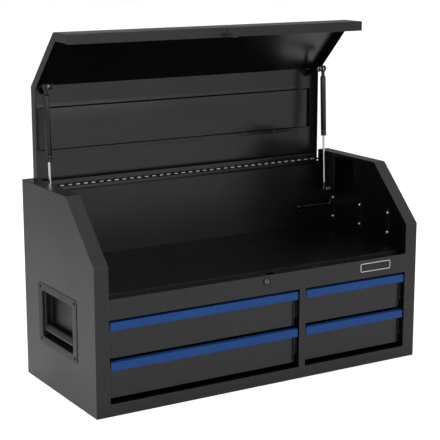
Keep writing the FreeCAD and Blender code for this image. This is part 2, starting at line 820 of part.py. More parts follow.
def make_lid_shell():
    """The lid: one sheet folded over the back, top, slope and front, with side flanges."""
    body = new_body("lid_shell")
    skin = dim.sheet
    outside = [(lid_back, dim.leaf_notch)] + lid_profile(as_size(0)) + [
        (lid_front, lid_bottom),
        (lid_front + dim.lid_lip, lid_bottom),
    ]
    inside = [
        (lid_front + dim.lid_lip, lid_bottom + skin),
        (lid_front + skin, lid_bottom + skin),
    ] + list(reversed(lid_profile(skin))) + [(lid_back - skin, dim.leaf_notch)]
    Section(body, "YZ").polygon(outside + inside).pad(2 * lid_half_width)
    flange = lid_profile(as_size(0)) + [
        (lid_front, lid_bottom),
        (lid_front + dim.lid_flange, lid_bottom),
    ] + list(reversed(lid_profile(dim.lid_flange)))[:2] + [(lid_back, lid_top - dim.lid_flange)]
    for side in (LEFT, RIGHT):
        Section(body, "YZ", side * lid_half_width).polygon(flange).pad(skin, -side)

    def folded(edge):
        middle = edge.BoundBox.Center
        at_bend = near(middle.z, lid_top) and (
            near(middle.y, lid_back) or near(middle.y, lid_slope_top))
        at_front = near(middle.y, lid_front) and (
            near(middle.z, lid_slope_bottom) or near(middle.z, lid_bottom))
        return runs_along(edge, (1, 0, 0)) and (at_bend or at_front)

    fillet(body, dim.bend_radius, folded)
    return stand_open(body)


def make_lid_stiffener():
    """The shallow hat section welded across the inside of the lid."""
    body = new_body("lid_stiffener")
    rear = -dim.stiffener_start
    fore = rear - dim.stiffener_width
    low = lid_inside - dim.stiffener_height
    skin = dim.sheet
    Section(body, "YZ").polygon([
        (rear + dim.stiffener_flange, lid_inside),
        (rear - skin, lid_inside),
        (rear - skin, low + skin),
        (fore + skin, low + skin),
        (fore + skin, lid_inside),
        (fore - dim.stiffener_flange, lid_inside),
        (fore - dim.stiffener_flange, lid_inside - skin),
        (fore, lid_inside - skin),
        (fore, low),
        (rear, low),
        (rear, lid_inside - skin),
        (rear + dim.stiffener_flange, lid_inside - skin),
    ]).pad(2 * (lid_half_width - dim.stiffener_end_gap))
    return stand_open(body)


def make_hinge_leaf(label, up):
    """A leaf of the piano hinge: up is +1 for the lid's leaf and -1 for the cabinet's."""
    body = new_body(label)
    leaf_back = dim.knuckle_radius
    leaf_front = leaf_back - dim.leaf_thickness
    room = 2 * lid_half_width + dim.knuckle_pitch - dim.knuckle_length
    pairs = int(room.value // (2 * dim.knuckle_pitch.value))
    row_length = (2 * pairs - 1) * dim.knuckle_pitch + dim.knuckle_length
    first = -row_length / 2 + (dim.knuckle_pitch if up > 0 else 0)
    Section(body, "YZ").polygon([
        (leaf_front, up * dim.leaf_notch),
        (leaf_back, up * dim.leaf_notch),
        (leaf_back, up * dim.leaf_width),
        (leaf_front, up * dim.leaf_width),
    ]).pad(row_length)
    neck = Section(body, "YZ", first).polygon([
        (leaf_front, 0),
        (leaf_back, 0),
        (leaf_back, up * dim.leaf_notch),
        (leaf_front, up * dim.leaf_notch),
    ]).pad(dim.knuckle_length, 1)
    knuckle = Section(body, "YZ", first).flats(
        0, 0, dim.knuckle_radius, KNUCKLE_SIDES,
    ).flats(
        0, 0, dim.pin_radius + dim.running_gap, KNUCKLE_SIDES, outside=True,
    ).pad(dim.knuckle_length, 1)
    repeat(body, [neck, knuckle], "X", 2 * dim.knuckle_pitch, pairs)
    if up > 0:
        return stand_open(body)
    return place(body, 0, hinge_y, hinge_z)


def make_hinge_pin():
    """The rod through every knuckle."""
    pin = doc.addObject("Part::Cylinder", "hinge_pin")
    bind(pin, "Radius", dim.pin_radius)
    bind(pin, "Height", 2 * lid_half_width - 2 * dim.knuckle_pitch)
    return place(pin, -(lid_half_width - dim.knuckle_pitch), hinge_y, hinge_z,
                 Vector(0, 1, 0), 90)


def make_striker():
    """The hooked strip under the lid's lip that the lock's cam holds down."""
    body = new_body("lid_striker")
    skin = dim.striker_sheet
    rear = front + dim.slot_front + dim.slot_depth - dim.slot_margin - hinge_y
    fore = rear - skin
    toe_top = lock_height - dim.cam_width / 2 - dim.striker_gap - hinge_z
    toe_bottom = toe_top - skin
    Section(body, "YZ", dim.striker_near).polygon([
        (fore - dim.striker_foot, lid_bottom),
        (rear, lid_bottom),
        (rear, toe_top),
        (rear + dim.striker_toe, toe_top),
        (rear + dim.striker_toe, toe_bottom),
        (fore, toe_bottom),
        (fore, lid_bottom - skin),
        (fore - dim.striker_foot, lid_bottom - skin),
    ]).pad(dim.striker_width, 1)
    return stand_open(body)


# ---------------------------------------------------------------- gas struts


def make_strut_brackets():
    """The brackets between each side panel and the lip of its top flange."""
    body = new_body("strut_brackets")
    skin = dim.bracket_sheet
    fore = lower_ball_y - dim.bracket_ahead
    rear = fore + dim.bracket_width
    low = lower_ball_z - dim.bracket_below
    section = Section(body, "XY", low)
    for side in (LEFT, RIGHT):
        face = side * (post_edge + dim.sheet)
        face_back = side * (post_edge + dim.sheet + skin)
        wall = side * wall_inside
        foot = side * (wall_inside - skin)
        section.polygon([
            (face, fore),
            (face_back, fore),
            (face_back, rear - skin),
            (wall, rear - skin),
            (wall, rear + dim.bracket_foot),
            (foot, rear + dim.bracket_foot),
            (foot, rear),
            (face, rear),
        ])
    section.pad(dim.side_height - dim.sheet - low, 1)
    return body


def add_ball_stud(body, centre, toward, length):
    """Adds a ball stud along X: the ball, flat at its ends, a shank and a hexagon."""
    flat = dim.ball_flat
    Section(body, "YZ", centre).flats(0, 0, dim.ball_radius, ROUND_SIDES).pad(2 * flat)

    def rim(edge):
        return near(edge.BoundBox.Center.x, centre - flat) or near(
            edge.BoundBox.Center.x, centre + flat)

    chamfer(body, dim.ball_bevel, rim)
    Section(body, "YZ", centre + toward * flat).flats(
        0, 0, dim.stud_radius, BORE_SIDES).pad(length - flat, toward)
    Section(body, "YZ", centre + toward * length).flats(
        0, 0, dim.collar_radius, HEXAGON).pad(dim.collar_length, -toward)


def make_lower_ball_studs():
    """The ball studs on the two strut brackets."""
    body = new_body("lower_ball_studs")
    for side in (LEFT, RIGHT):
        add_ball_stud(body, side * strut_x, side, post_edge + dim.sheet - strut_x)
    return place(body, 0, lower_ball_y, lower_ball_z)


def make_upper_ball_stud(label, side):
    """The ball stud at the top of one strut, its collar towards the lid's bracket."""
    body = new_body(label)
    add_ball_stud(body, side * strut_x, -side, dim.tab_offset - dim.tab_gap)
    return place(body, 0, upper_ball_y, upper_ball_z)


# Along a strut, measured from its lower ball
lean = arctangent(strut_run / strut_rise)
cylinder_end = strut_length - dim.neck_length
cylinder_start = cylinder_end - dim.cylinder_length
piston_start = cylinder_start + dim.cylinder_cap + dim.piston_travel_left


def along_strut(body, side):
    """Lays a piece drawn along Z, from the lower ball, on the line of its strut."""
    return place(body, side * strut_x, lower_ball_y, lower_ball_z,
                 Vector(1, 0, 0), -lean)


def make_socket(label, side, centre, toward, open_side):
    """A ball socket: a short barrel across the strut with a neck along it."""
    body = new_body(label)
    Section(body, "YZ").circle(0, centre, dim.socket_radius).pad(dim.socket_length)
    Section(body, "XY", centre).circle(0, 0, dim.neck_radius).pad(
        dim.neck_length, toward)
    bore_start = -open_side * (dim.ball_flat + dim.ball_gap)
    Section(body, "YZ", bore_start).flats(
        0, centre, dim.ball_radius + dim.ball_gap, ROUND_SIDES, outside=True,
    ).cut(dim.socket_length, open_side)
    return along_strut(body, side)


def make_rod(label, side):
    """The polished rod with its piston, which stays inside the cylinder."""
    body = new_body(label)
    piston = dim.cylinder_radius - dim.cylinder_wall - dim.piston_gap
    Section(body, "XY", dim.neck_length).circle(0, 0, dim.rod_radius).pad(
        piston_start - dim.neck_length, 1)
    Section(body, "XY", piston_start).flats(0, 0, piston, ROUND_SIDES).pad(
        dim.piston_length, 1)
    return along_strut(body, side)


def make_cylinder(label, side):
    """The pressure cylinder, closed by a rod gland below and by its socket above."""
    body = new_body(label)
    bore = dim.cylinder_radius - dim.cylinder_wall
    gland = dim.rod_radius + dim.running_gap
    Section(body, "XY", cylinder_start).circle(0, 0, dim.cylinder_radius).pad(
        dim.cylinder_length, 1)
    Section(body, "XY", cylinder_start).flats(
        0, 0, gland, BORE_SIDES, outside=True).cut(dim.cylinder_cap, 1)
    Section(body, "XY", cylinder_start + dim.cylinder_cap).flats(
        0, 0, bore, ROUND_SIDES).cut(dim.cylinder_length - 2 * dim.cylinder_cap, 1)

    def rim(edge):
        return is_circle(edge, dim.cylinder_radius)

    chamfer(body, dim.cylinder_shoulder, rim)
    return along_strut(body, side)


def make_lid_bracket(label, side):
    """The bracket that carries a strut's upper ball stud inside the lid."""
    body = new_body(label)
    skin = dim.bracket_sheet
    stud_face = side * (strut_x - dim.tab_offset)
    root_fore = lid_slope_top + dim.tab_setback
    root_rear = root_fore + dim.tab_length
    ball_y = -dim.ball_reach
    ball_z = -dim.ball_drop
    reach = dim.tab_reach
    Section(body, "YZ", stud_face).polygon([
        (root_fore, lid_inside),
        (ball_y - reach, ball_z + reach),
        (ball_y - reach, ball_z - reach),
        (ball_y + reach, ball_z - reach),
        (root_rear, lid_inside),
    ]).pad(skin, -side)
    Section(body, "XY", lid_inside).rectangle(
        *sorted((stud_face, stud_face - side * dim.tab_foot), key=lambda size: size.value),
        root_fore, root_rear,
    ).pad(skin, -1)

    def ball_end(edge):
        middle = edge.BoundBox.Center
        low_corner = near(middle.z, ball_z - reach) or (
            near(middle.z, ball_z + reach) and near(middle.y, ball_y - reach))
        return runs_along(edge, (1, 0, 0)) and low_corner

    fillet(body, dim.tab_corner, ball_end)
    return stand_open(body)


# ---------------------------------------------------------------- lock

plug_front = front - dim.bezel_depth + dim.plug_recess
housing_back = front + dim.lock_length


def make_lock_housing():
    """The lock's fixed barrel and front ring, drawn with its front at the origin."""
    body = new_body("lock_housing")
    bore = dim.plug_radius + dim.running_gap
    length = dim.bezel_depth + dim.lock_length
    Section(body, "XZ").polygon([
        (bore, 0),
        (dim.bezel_radius - dim.bezel_bevel, 0),
        (dim.bezel_radius, dim.bezel_bevel),
        (dim.bezel_radius, dim.bezel_depth),
        (dim.lock_radius, dim.bezel_depth),
        (dim.lock_radius, length),
        (bore, length),
    ]).turn()
    return place(body, 0, front - dim.bezel_depth, lock_height, Vector(1, 0, 0), -90)


def make_lock_nut():
    """The hexagonal nut that clamps the housing to the rail from behind."""
    body = new_body("lock_nut")
    Section(body, "XZ", front + dim.sheet).flats(
        0, lock_height, dim.nut_radius, HEXAGON,
    ).circle(0, lock_height, dim.lock_radius).pad(dim.nut_thickness, 1)
    return body


def make_lock_plug():
    """The turning plug, slotted for a key, with a tail for the cam."""
    body = new_body("lock_plug")
    length = housing_back - plug_front
    Section(body, "XZ").polygon([
        (0, 0),
        (dim.plug_radius, 0),
        (dim.plug_radius, length),
        (dim.tail_radius, length),
        (dim.tail_radius, length + dim.tail_length + dim.cam_thickness),
        (0, length + dim.tail_length + dim.cam_thickness),
    ]).turn()
    Section(body, "XY").rectangle(
        -dim.key_slot_width / 2, dim.key_slot_width / 2,
        -dim.key_slot_height / 2, dim.key_slot_height / 2,
    ).cut(dim.key_slot_depth, 1)
    return place(body, 0, plug_front, lock_height, Vector(1, 0, 0), -90)


def make_lock_cam():
    """The flat arm on the plug's tail, pointing up while the lock is open."""
    body = new_body("lock_cam")
    half = dim.cam_width / 2
    section = Section(body, "XZ", housing_back + dim.tail_length)
    section.polygon([
        (-half, lock_height - dim.cam_heel),
        (half, lock_height - dim.cam_heel),
        (half, lock_height + dim.cam_length),
        (-half, lock_height + dim.cam_length),
    ]).circle(0, lock_height, dim.tail_radius).pad(dim.cam_thickness, 1)
    return body


# ---------------------------------------------------------------- side handles


def make_handle_pan(label, side):
    """The riveted plate of a side handle with its deep rounded recess."""
    body = new_body(label)
    wall = side * half_width
    skin = dim.plate_thickness
    half_length = dim.plate_length / 2
    half_height = dim.plate_height / 2
    centre_y = dim.handle_centre_y
    centre_z = dim.handle_centre_z
    recess_y = dim.recess_length / 2
    recess_z = dim.recess_height / 2
    Section(body, "YZ", wall).rectangle(
        centre_y - half_length, centre_y + half_length,
        centre_z - half_height, centre_z + half_height).pad(skin, side)
    Section(body, "YZ", wall).rectangle(
        centre_y - recess_y, centre_y + recess_y,
        centre_z - recess_z, centre_z + recess_z).pad(dim.recess_depth, -side)
    Section(body, "YZ", side * (half_width + skin)).rectangle(
        centre_y - recess_y + skin, centre_y + recess_y - skin,
        centre_z - recess_z + skin, centre_z + recess_z - skin,
    ).cut(dim.recess_depth, -side)
    pivot_x = side * (half_width - dim.grip_pivot_depth)
    pivot_z = centre_z + recess_z - dim.grip_pivot_drop
    Section(body, "XZ", centre_y).flats(
        pivot_x, pivot_z, dim.trunnion_radius + dim.running_gap, BORE_SIDES, outside=True,
    ).cut(2 * recess_y + THROUGH * skin)

    def plate_corner(edge):
        return runs_along(edge, (1, 0, 0)) and near(edge.Length, skin)

    def recess_corner(edge):
        return runs_along(edge, (1, 0, 0)) and near(edge.Length, dim.recess_depth)

    fillet(body, dim.plate_corner, plate_corner)
    fillet(body, dim.recess_corner, recess_corner)
    return body


def make_grip(label, side):
    """The swinging grip: a hand bar, two arms and the trunnions they turn on."""
    body = new_body(label)
    outer = dim.recess_length / 2 - dim.plate_thickness - dim.grip_gap
    arm = dim.grip_arm
    drop = (dim.recess_height - dim.grip_pivot_drop - dim.plate_thickness - dim.grip_rise)
    bar_top = -(drop - dim.grip_bar_height)
    Section(body, "YZ").polygon([
        (-outer, arm / 2),
        (-outer, -drop),
        (outer, -drop),
        (outer, arm / 2),
        (outer - arm, arm / 2),
        (outer - arm, bar_top),
        (-outer + arm, bar_top),
        (-outer + arm, arm / 2),
    ]).pad(arm)
    extra = dim.grip_bar_depth - arm
    Section(body, "YZ", -side * arm / 2).rectangle(
        -outer + arm, outer - arm, -drop, bar_top).pad(extra, -side)
    Section(body, "XZ").flats(0, 0, dim.trunnion_radius, ROUND_SIDES).pad(
        2 * (outer + dim.trunnion_length))

    def hand_edge(edge):
        middle = edge.BoundBox.Center
        on_bar = middle.z < bar_top.value + CLOSE and edge.Length > outer.value
        return runs_along(edge, (0, 1, 0)) and on_bar

    fillet(body, dim.grip_edge_radius, hand_edge)
    pivot_z = dim.handle_centre_z + dim.recess_height / 2 - dim.grip_pivot_drop
    return place(body, side * (half_width - dim.grip_pivot_depth),
                 dim.handle_centre_y, pivot_z)


def make_handle_rivets():
    """The heads of the four rivets that hold each handle plate."""
    body = new_body("handle_rivets")
    for side in (LEFT, RIGHT):
        heads = Section(body, "YZ", side * (half_width + dim.plate_thickness))
        for y_sign in (-1, 1):
            for z_sign in (-1, 1):
                heads.flats(dim.handle_centre_y + y_sign * dim.rivet_span_y / 2,
                            dim.handle_centre_z + z_sign * dim.rivet_span_z / 2,
                            dim.rivet_head_radius, ROUND_SIDES)
        heads.pad(dim.rivet_head_height, side)
    return body


# ---------------------------------------------------------------- fittings in the till

STRAPS = (-1, 0, 1)


def strap_centre(number):
    """Distance of a strap behind the middle of the chest."""
    return dim.strap_first_y + number * dim.strap_pitch


def make_wall_straps():
    """The three upright straps on the right side panel."""
    body = new_body("wall_straps")
    section = Section(body, "YZ", wall_inside)
    half = dim.strap_width / 2
    for number in STRAPS:
        centre = strap_centre(number)
        section.rectangle(centre - half, centre + half, dim.screw_low_z - dim.strap_margin,
                          dim.screw_low_z + dim.screw_span + dim.strap_margin)
    section.pad(dim.strap_thickness, -1)
    return body


def make_strap_screws():
    """The heads of the two screws in each strap."""
    body = new_body("strap_screws")
    heads = Section(body, "YZ", wall_inside - dim.strap_thickness)
    for number in STRAPS:
        for rise in (0, 1):
            heads.flats(strap_centre(number), dim.screw_low_z + rise * dim.screw_span,
                        dim.screw_head_radius, ROUND_SIDES)
    heads.pad(dim.screw_head_height, -1)
    return body


tube_y = back_inside - dim.tube_standoff
tube_height = lower_ball_z - dim.bracket_below - dim.tube_drop
tube_start = wall_inside - dim.tube_length


def make_corner_tube():
    """The short guard tube across the rear right corner."""
    body = new_body("corner_tube")
    section = Section(body, "YZ", tube_start)
    for radius in (dim.tube_radius, dim.tube_radius - dim.tube_wall):
        section.flats(tube_y, tube_height, radius, ROUND_SIDES)
    section.pad(dim.tube_length, 1)
    return body


def make_wall_flange():
    """The plate with a hub that holds the tube's end on the side panel."""
    body = new_body("wall_flange")
    half_plate = dim.wall_plate_width / 2
    half_height = dim.wall_plate_height / 2
    Section(body, "YZ", wall_inside).rectangle(
        tube_y - half_plate, tube_y + half_plate,
        tube_height - half_height, tube_height + half_height,
    ).pad(dim.wall_plate_thickness, -1)
    Section(body, "YZ", wall_inside).flats(
        tube_y, tube_height, dim.tube_radius + dim.tube_wall, ROUND_SIDES,
    ).pad(dim.hub_length, -1)
    Section(body, "YZ", wall_inside).flats(
        tube_y, tube_height, dim.tube_radius, ROUND_SIDES).cut(THROUGH * dim.hub_length)
    return body


def make_tube_clip():
    """The clip that holds the tube's other end on the back panel."""
    body = new_body("tube_clip")
    start = tube_start + dim.clip_width / 2
    ring = dim.tube_radius + dim.clip_sheet
    Section(body, "YZ", start).flats(
        tube_y, tube_height, ring, ROUND_SIDES).pad(dim.clip_width, 1)
    Section(body, "YZ", start).rectangle(
        tube_y, back_inside, tube_height - ring, tube_height - ring + dim.clip_sheet
    ).pad(dim.clip_width, 1)
    Section(body, "YZ", start).rectangle(
        back_inside - dim.clip_sheet, back_inside,
        tube_height - ring - dim.clip_wing, tube_height - ring + dim.clip_sheet,
    ).pad(dim.clip_width, 1)
    Section(body, "YZ", start).flats(
        tube_y, tube_height, dim.tube_radius, ROUND_SIDES).cut(THROUGH * dim.clip_width)
    return body


# ---------------------------------------------------------------- assembly


def build_cabinet():
    """Every piece that stays with the cabinet."""
    return [
        make_side_panel("left_side_panel", LEFT),
        make_side_panel("right_side_panel", RIGHT),
        make_back_panel(),
        make_bottom_panel(),
        make_till_floor(),
        make_top_rail(),
        make_bottom_rail(),
        make_partition(),
        make_slide_carriers(),
        make_cabinet_members(),
        make_hinge_leaf("hinge_cabinet_leaf", -1),
        make_hinge_pin(),
        make_lock_housing(),
        make_lock_nut(),
        make_handle_rivets(),
        make_wall_straps(),
        make_strap_screws(),
        make_corner_tube(),
        make_wall_flange(),
        make_tube_clip(),
        make_strut_brackets(),
        make_lower_ball_studs(),
        make_handle_pan("left_handle_pan", LEFT),
        make_handle_pan("right_handle_pan", RIGHT),
    ]


def build_drawers():
    """The four drawers with their pulls and moving slide members."""
    pieces = []
    for column in COLUMNS:
        for row_name, row in ROWS:
            name = f"{row_name}_{column.name}"
            pieces += [
                make_tray(f"{name}_drawer_tray", column, row),
                make_pull(f"{name}_drawer_pull", column, row),
                make_drawer_members(f"{name}_drawer_members", column, row),
                make_middle_members(f"{name}_middle_members", column, row),
            ]
    return pieces


def build_lid_and_struts():
    """The lid, what is fixed to it, and the two gas struts."""
    pieces = [
        make_lid_shell(),
        make_lid_stiffener(),
        make_hinge_leaf("hinge_lid_leaf", 1),
        make_striker(),
    ]
    for name, side in (("left", LEFT), ("right", RIGHT)):
        pieces += [
            make_lid_bracket(f"{name}_lid_bracket", side),
            make_socket(f"{name}_lower_socket", side, as_size(0), 1, side),
            make_rod(f"{name}_strut_rod", side),
            make_cylinder(f"{name}_strut_cylinder", side),
            make_socket(f"{name}_upper_socket", side, strut_length, -1, -side),
            make_upper_ball_stud(f"{name}_upper_ball_stud", side),
        ]
    return pieces


def build_moving_fittings():
    """The lock's turning parts and the handle grips."""
    return [
        make_lock_plug(),
        make_lock_cam(),
        make_grip("left_handle_grip", LEFT),
        make_grip("right_handle_grip", RIGHT),
    ]


def check_and_export(pieces):
    """Stops on any failed object or bad shape, then writes one file for each piece."""
    doc.recompute()
    failed = [item.Label for item in doc.Objects
              if "Invalid" in item.State or "Error" in item.State]
    if failed:
        raise RuntimeError(f"objects that failed to build: {failed}")
    for piece in pieces:
        if piece.Shape.isNull() or not piece.Shape.isValid() or not piece.Shape.Solids:
            raise RuntimeError(f"{piece.Label} has no valid solid")
    os.makedirs("parts", exist_ok=True)
    for piece in pieces:
        piece.Shape.exportStep(f"parts/{piece.Label}.step")
        print(f"{piece.Label}: {len(piece.Shape.Solids)} solid(s)")


check_and_export(
    build_cabinet() + build_drawers() + build_lid_and_struts() + build_moving_fittings())
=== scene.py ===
"""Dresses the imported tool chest: finer surfaces for its visible fittings, and every finish.

Frame: +X right, +Y to the back, +Z up, metres, origin at the centre of the cabinet's base.
At rest the lid stands open, the drawers are shut and the side grips hang flush.
The classes hold their sizes in millimetres.
"""
import json
import logging
import math
from dataclasses import dataclass, field
from enum import Enum
from typing import Any, Callable, Iterable, Sequence

import bpy  # noqa: E402
import numpy as np  # noqa: E402
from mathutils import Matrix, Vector  # noqa: E402

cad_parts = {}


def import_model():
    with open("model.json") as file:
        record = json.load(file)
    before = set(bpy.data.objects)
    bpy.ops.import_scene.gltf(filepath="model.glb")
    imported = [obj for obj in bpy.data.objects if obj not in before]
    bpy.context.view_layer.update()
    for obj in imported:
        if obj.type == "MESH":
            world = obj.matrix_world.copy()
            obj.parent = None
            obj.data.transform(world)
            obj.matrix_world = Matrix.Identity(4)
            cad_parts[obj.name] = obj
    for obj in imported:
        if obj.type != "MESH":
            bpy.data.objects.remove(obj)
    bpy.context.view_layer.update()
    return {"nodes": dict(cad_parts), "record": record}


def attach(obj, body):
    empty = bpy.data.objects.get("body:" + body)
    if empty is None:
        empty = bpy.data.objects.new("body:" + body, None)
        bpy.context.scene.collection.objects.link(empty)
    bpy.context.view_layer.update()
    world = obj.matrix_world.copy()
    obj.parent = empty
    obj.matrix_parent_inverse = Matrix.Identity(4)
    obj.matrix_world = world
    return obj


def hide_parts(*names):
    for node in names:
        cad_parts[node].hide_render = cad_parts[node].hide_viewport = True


log = logging.getLogger("tool_chest")
Array = np.ndarray
Pair = tuple[float, float]
Triple = tuple[float, float, float]
Profile = Sequence[Pair] | np.ndarray
Tree = bpy.types.NodeTree
Node = bpy.types.Node
Socket = bpy.types.NodeSocket
MM = 0.001
TAU = 2.0 * math.pi
SIDES: tuple[tuple[str, float], ...] = (("left", -1.0), ("right", 1.0))
X_AXIS: Triple = (1.0, 0.0, 0.0)
FORWARD: Triple = (0.0, -1.0, 0.0)
WHITE = (1.0, 1.0, 1.0, 1.0)


def srgb(code: str) -> tuple[float, float, float, float]:
    """Turns a colour code into a linear colour.

    Args:
        code: six hexadecimal digits.

    Returns:
        Linear red, green, blue and an alpha of 1.
    """
    parts = [int(code[at:at + 2], 16) / 255 for at in (0, 2, 4)]
    linear = [part / 12.92 if part <= 0.04045 else ((part + 0.055) / 1.055) ** 2.4
              for part in parts]
    return (linear[0], linear[1], linear[2], 1.0)


# ------------------------------------------------------------------ shader nodes


def feed(tree: Tree, socket: Socket, value: Any) -> None:
    """Links an input to another socket, or sets it to a plain value.

    Args:
        tree: the tree that holds the input.
        socket: the input.
        value: a socket, a number or a colour.
    """
    if isinstance(value, Socket):
        tree.links.new(value, socket)
    else:
        socket.default_value = value


def node(tree: Tree, kind: str, inputs: dict[str | int, Any] | None = None,
         **options: Any) -> Node:
    """Adds a node with its options and inputs.

    Args:
        tree: where it goes.
        kind: its type, without the first word that all shader nodes share.
        inputs: a socket or a plain value for each input, by name or number.
        options: the node's own settings.

    Returns:
        The node.
    """
    added = tree.nodes.new(f"ShaderNode{kind}")
    for name, option in options.items():
        setattr(added, name, option)
    for name, value in (inputs or {}).items():
        feed(tree, added.inputs[name], value)
    return added


def coordinates(tree: Tree, which: str = "Object") -> Socket:
    """Gives the object's own coordinates, or others by name."""
    return node(tree, "TexCoord").outputs[which]


def noise(tree: Tree, place: Socket, scale: Socket | float, detail: float) -> Socket:
    """Adds a noise texture and gives its value.

    Args:
        tree: where it goes.
        place: where it is read.
        scale: its scale.
        detail: its octaves.

    Returns:
        The noise, around a half.
    """
    return node(tree, "TexNoise", {"Vector": place, "Scale": scale,
                                   "Detail": detail}).outputs["Fac"]


def remap(tree: Tree, value: Socket, taken: Pair = (0.0, 1.0),
          given: Pair = (0.0, 1.0)) -> Socket:
    """Spreads a value evenly from one span over another.

    Args:
        tree: where the node goes.
        value: what is spread.
        taken: the two ends that it comes from.
        given: what they become.

    Returns:
        The spread value.
    """
    return node(tree, "MapRange", {
        "Value": value, "From Min": taken[0], "From Max": taken[1],
        "To Min": given[0], "To Max": given[1]}).outputs["Result"]


class Group(Enum):
    """The shared surface effects, each a node group of its own."""

    ORANGE_PEEL = "orange_peel"
    EDGE_RUB_AND_HIGHLIGHT = "edge_wear"
    HANDLING = "handling_marks"
    ROLLED_GRAIN = "rolled_grain"


class GroupMaker:
    """Builds each shared effect once, with named inputs and outputs."""

    def __init__(self) -> None:
        """Starts with no group built."""
        self.built: dict[Group, Tree] = {}

    def get(self, which: Group) -> Tree:
        """Gives a group, and builds it the first time it is asked for.

        Args:
            which: the effect.

        Returns:
            Its node tree.
        """
        if which not in self.built:
            maker: dict[Group, Callable[[Tree], None]] = {
                Group.ORANGE_PEEL: self._orange_peel,
                Group.EDGE_RUB_AND_HIGHLIGHT: self._edge_rub_and_highlight,
                Group.HANDLING: self._handling,
                Group.ROLLED_GRAIN: self._rolled_grain,
            }
            self.built[which] = bpy.data.node_groups.new(which.value, "ShaderNodeTree")
            maker[which](self.built[which])
        return self.built[which]

    @staticmethod
    def _sockets(tree: Tree, inputs: dict[str, float],
                 outputs: Sequence[str]) -> tuple[dict[str, Socket], dict[str, Socket]]:
        """Gives a tree its number inputs and outputs.

        Args:
            tree: the group.
            inputs: the default of each input.
            outputs: the names of the outputs; a normal is a vector.

        Returns:
            What the group is given, and what it puts out, by name.
        """
        for name, value in inputs.items():
            socket = tree.interface.new_socket(name, in_out="INPUT",
                                               socket_type="NodeSocketFloat")
            socket.default_value = value
        for name in outputs:
            kind = "NodeSocketVector" if name == "Normal" else "NodeSocketFloat"
            tree.interface.new_socket(name, in_out="OUTPUT", socket_type=kind)
        given = tree.nodes.new("NodeGroupInput").outputs
        out = tree.nodes.new("NodeGroupOutput").inputs
        return ({name: given[name] for name in inputs}, {name: out[name] for name in outputs})

    def _orange_peel(self, tree: Tree) -> None:
        """The fine pebbled skin of a baked powder coat: two noises, coarse over fine.

        Args:
            tree: the group.
        """
        given, out = self._sockets(tree, {"Scale": 900.0, "Cloud Scale": 14.0},
                                   ("Height", "Cloud"))
        place = coordinates(tree)
        cloud = noise(tree, place, given["Cloud Scale"], 3.0)
        feed(tree, out["Height"], noise(tree, place, given["Scale"], 2.0))
        feed(tree, out["Cloud"], remap(tree, cloud, (0.3, 0.7)))

    def _edge_rub_and_highlight(self, tree: Tree) -> None:
        """A rounded normal, and where it leaves the flat one, broken up by noise; the coats turn
        lighter there, partly rubbed paint and partly painted highlight.

        Args:
            tree: the group.
        """
        given, out = self._sockets(tree, {"Width": 0.0008, "Break Scale": 160.0},
                                   ("Edge", "Normal"))
        rounded = node(tree, "Bevel", {"Radius": given["Width"]}, samples=4).outputs["Normal"]
        flat = node(tree, "NewGeometry").outputs["Normal"]
        turned = node(tree, "VectorMath", {0: rounded, 1: flat}, operation="DOT_PRODUCT")
        # The edge mask: partly rubbed paint, partly painted highlight along every edge.
        edge = remap(tree, turned.outputs["Value"], (0.995, 0.93))
        breaks = noise(tree, coordinates(tree), given["Break Scale"], 3.0)
        rubbed_and_lit = node(tree, "Math", {0: edge, 1: remap(tree, breaks, (0.42, 0.62))},
                    operation="MULTIPLY")
        feed(tree, out["Edge"], rubbed_and_lit.outputs[0])
        feed(tree, out["Normal"], rounded)

    def _handling(self, tree: Tree) -> None:
        """Faint wiped patches from use.

        Args:
            tree: the group.
        """
        given, out = self._sockets(tree, {"Patch Scale": 9.0}, ("Patch",))
        patch = noise(tree, coordinates(tree), given["Patch Scale"], 4.0)
        feed(tree, out["Patch"], remap(tree, patch, (0.4, 0.7)))

    def _rolled_grain(self, tree: Tree) -> None:
        """Long fine lines along X, as rolling or drawing leaves on bright metal.

        Args:
            tree: the group.
        """
        given, out = self._sockets(tree, {"Scale": 500.0, "Stretch": 0.02},
                                   ("Height", "Tone"))
        place = coordinates(tree)
        stretch = node(tree, "CombineXYZ", {"X": given["Stretch"], "Y": 1.0, "Z": 1.0})
        drawn = node(tree, "VectorMath", {0: place, 1: stretch.outputs["Vector"]},
                     operation="MULTIPLY").outputs["Vector"]
        tone = noise(tree, place, 35.0, 3.0)
        feed(tree, out["Height"], noise(tree, drawn, given["Scale"], 2.0))
        feed(tree, out["Tone"], remap(tree, tone, (0.35, 0.65)))


GROUPS = GroupMaker()


# ------------------------------------------------------------------ finishes


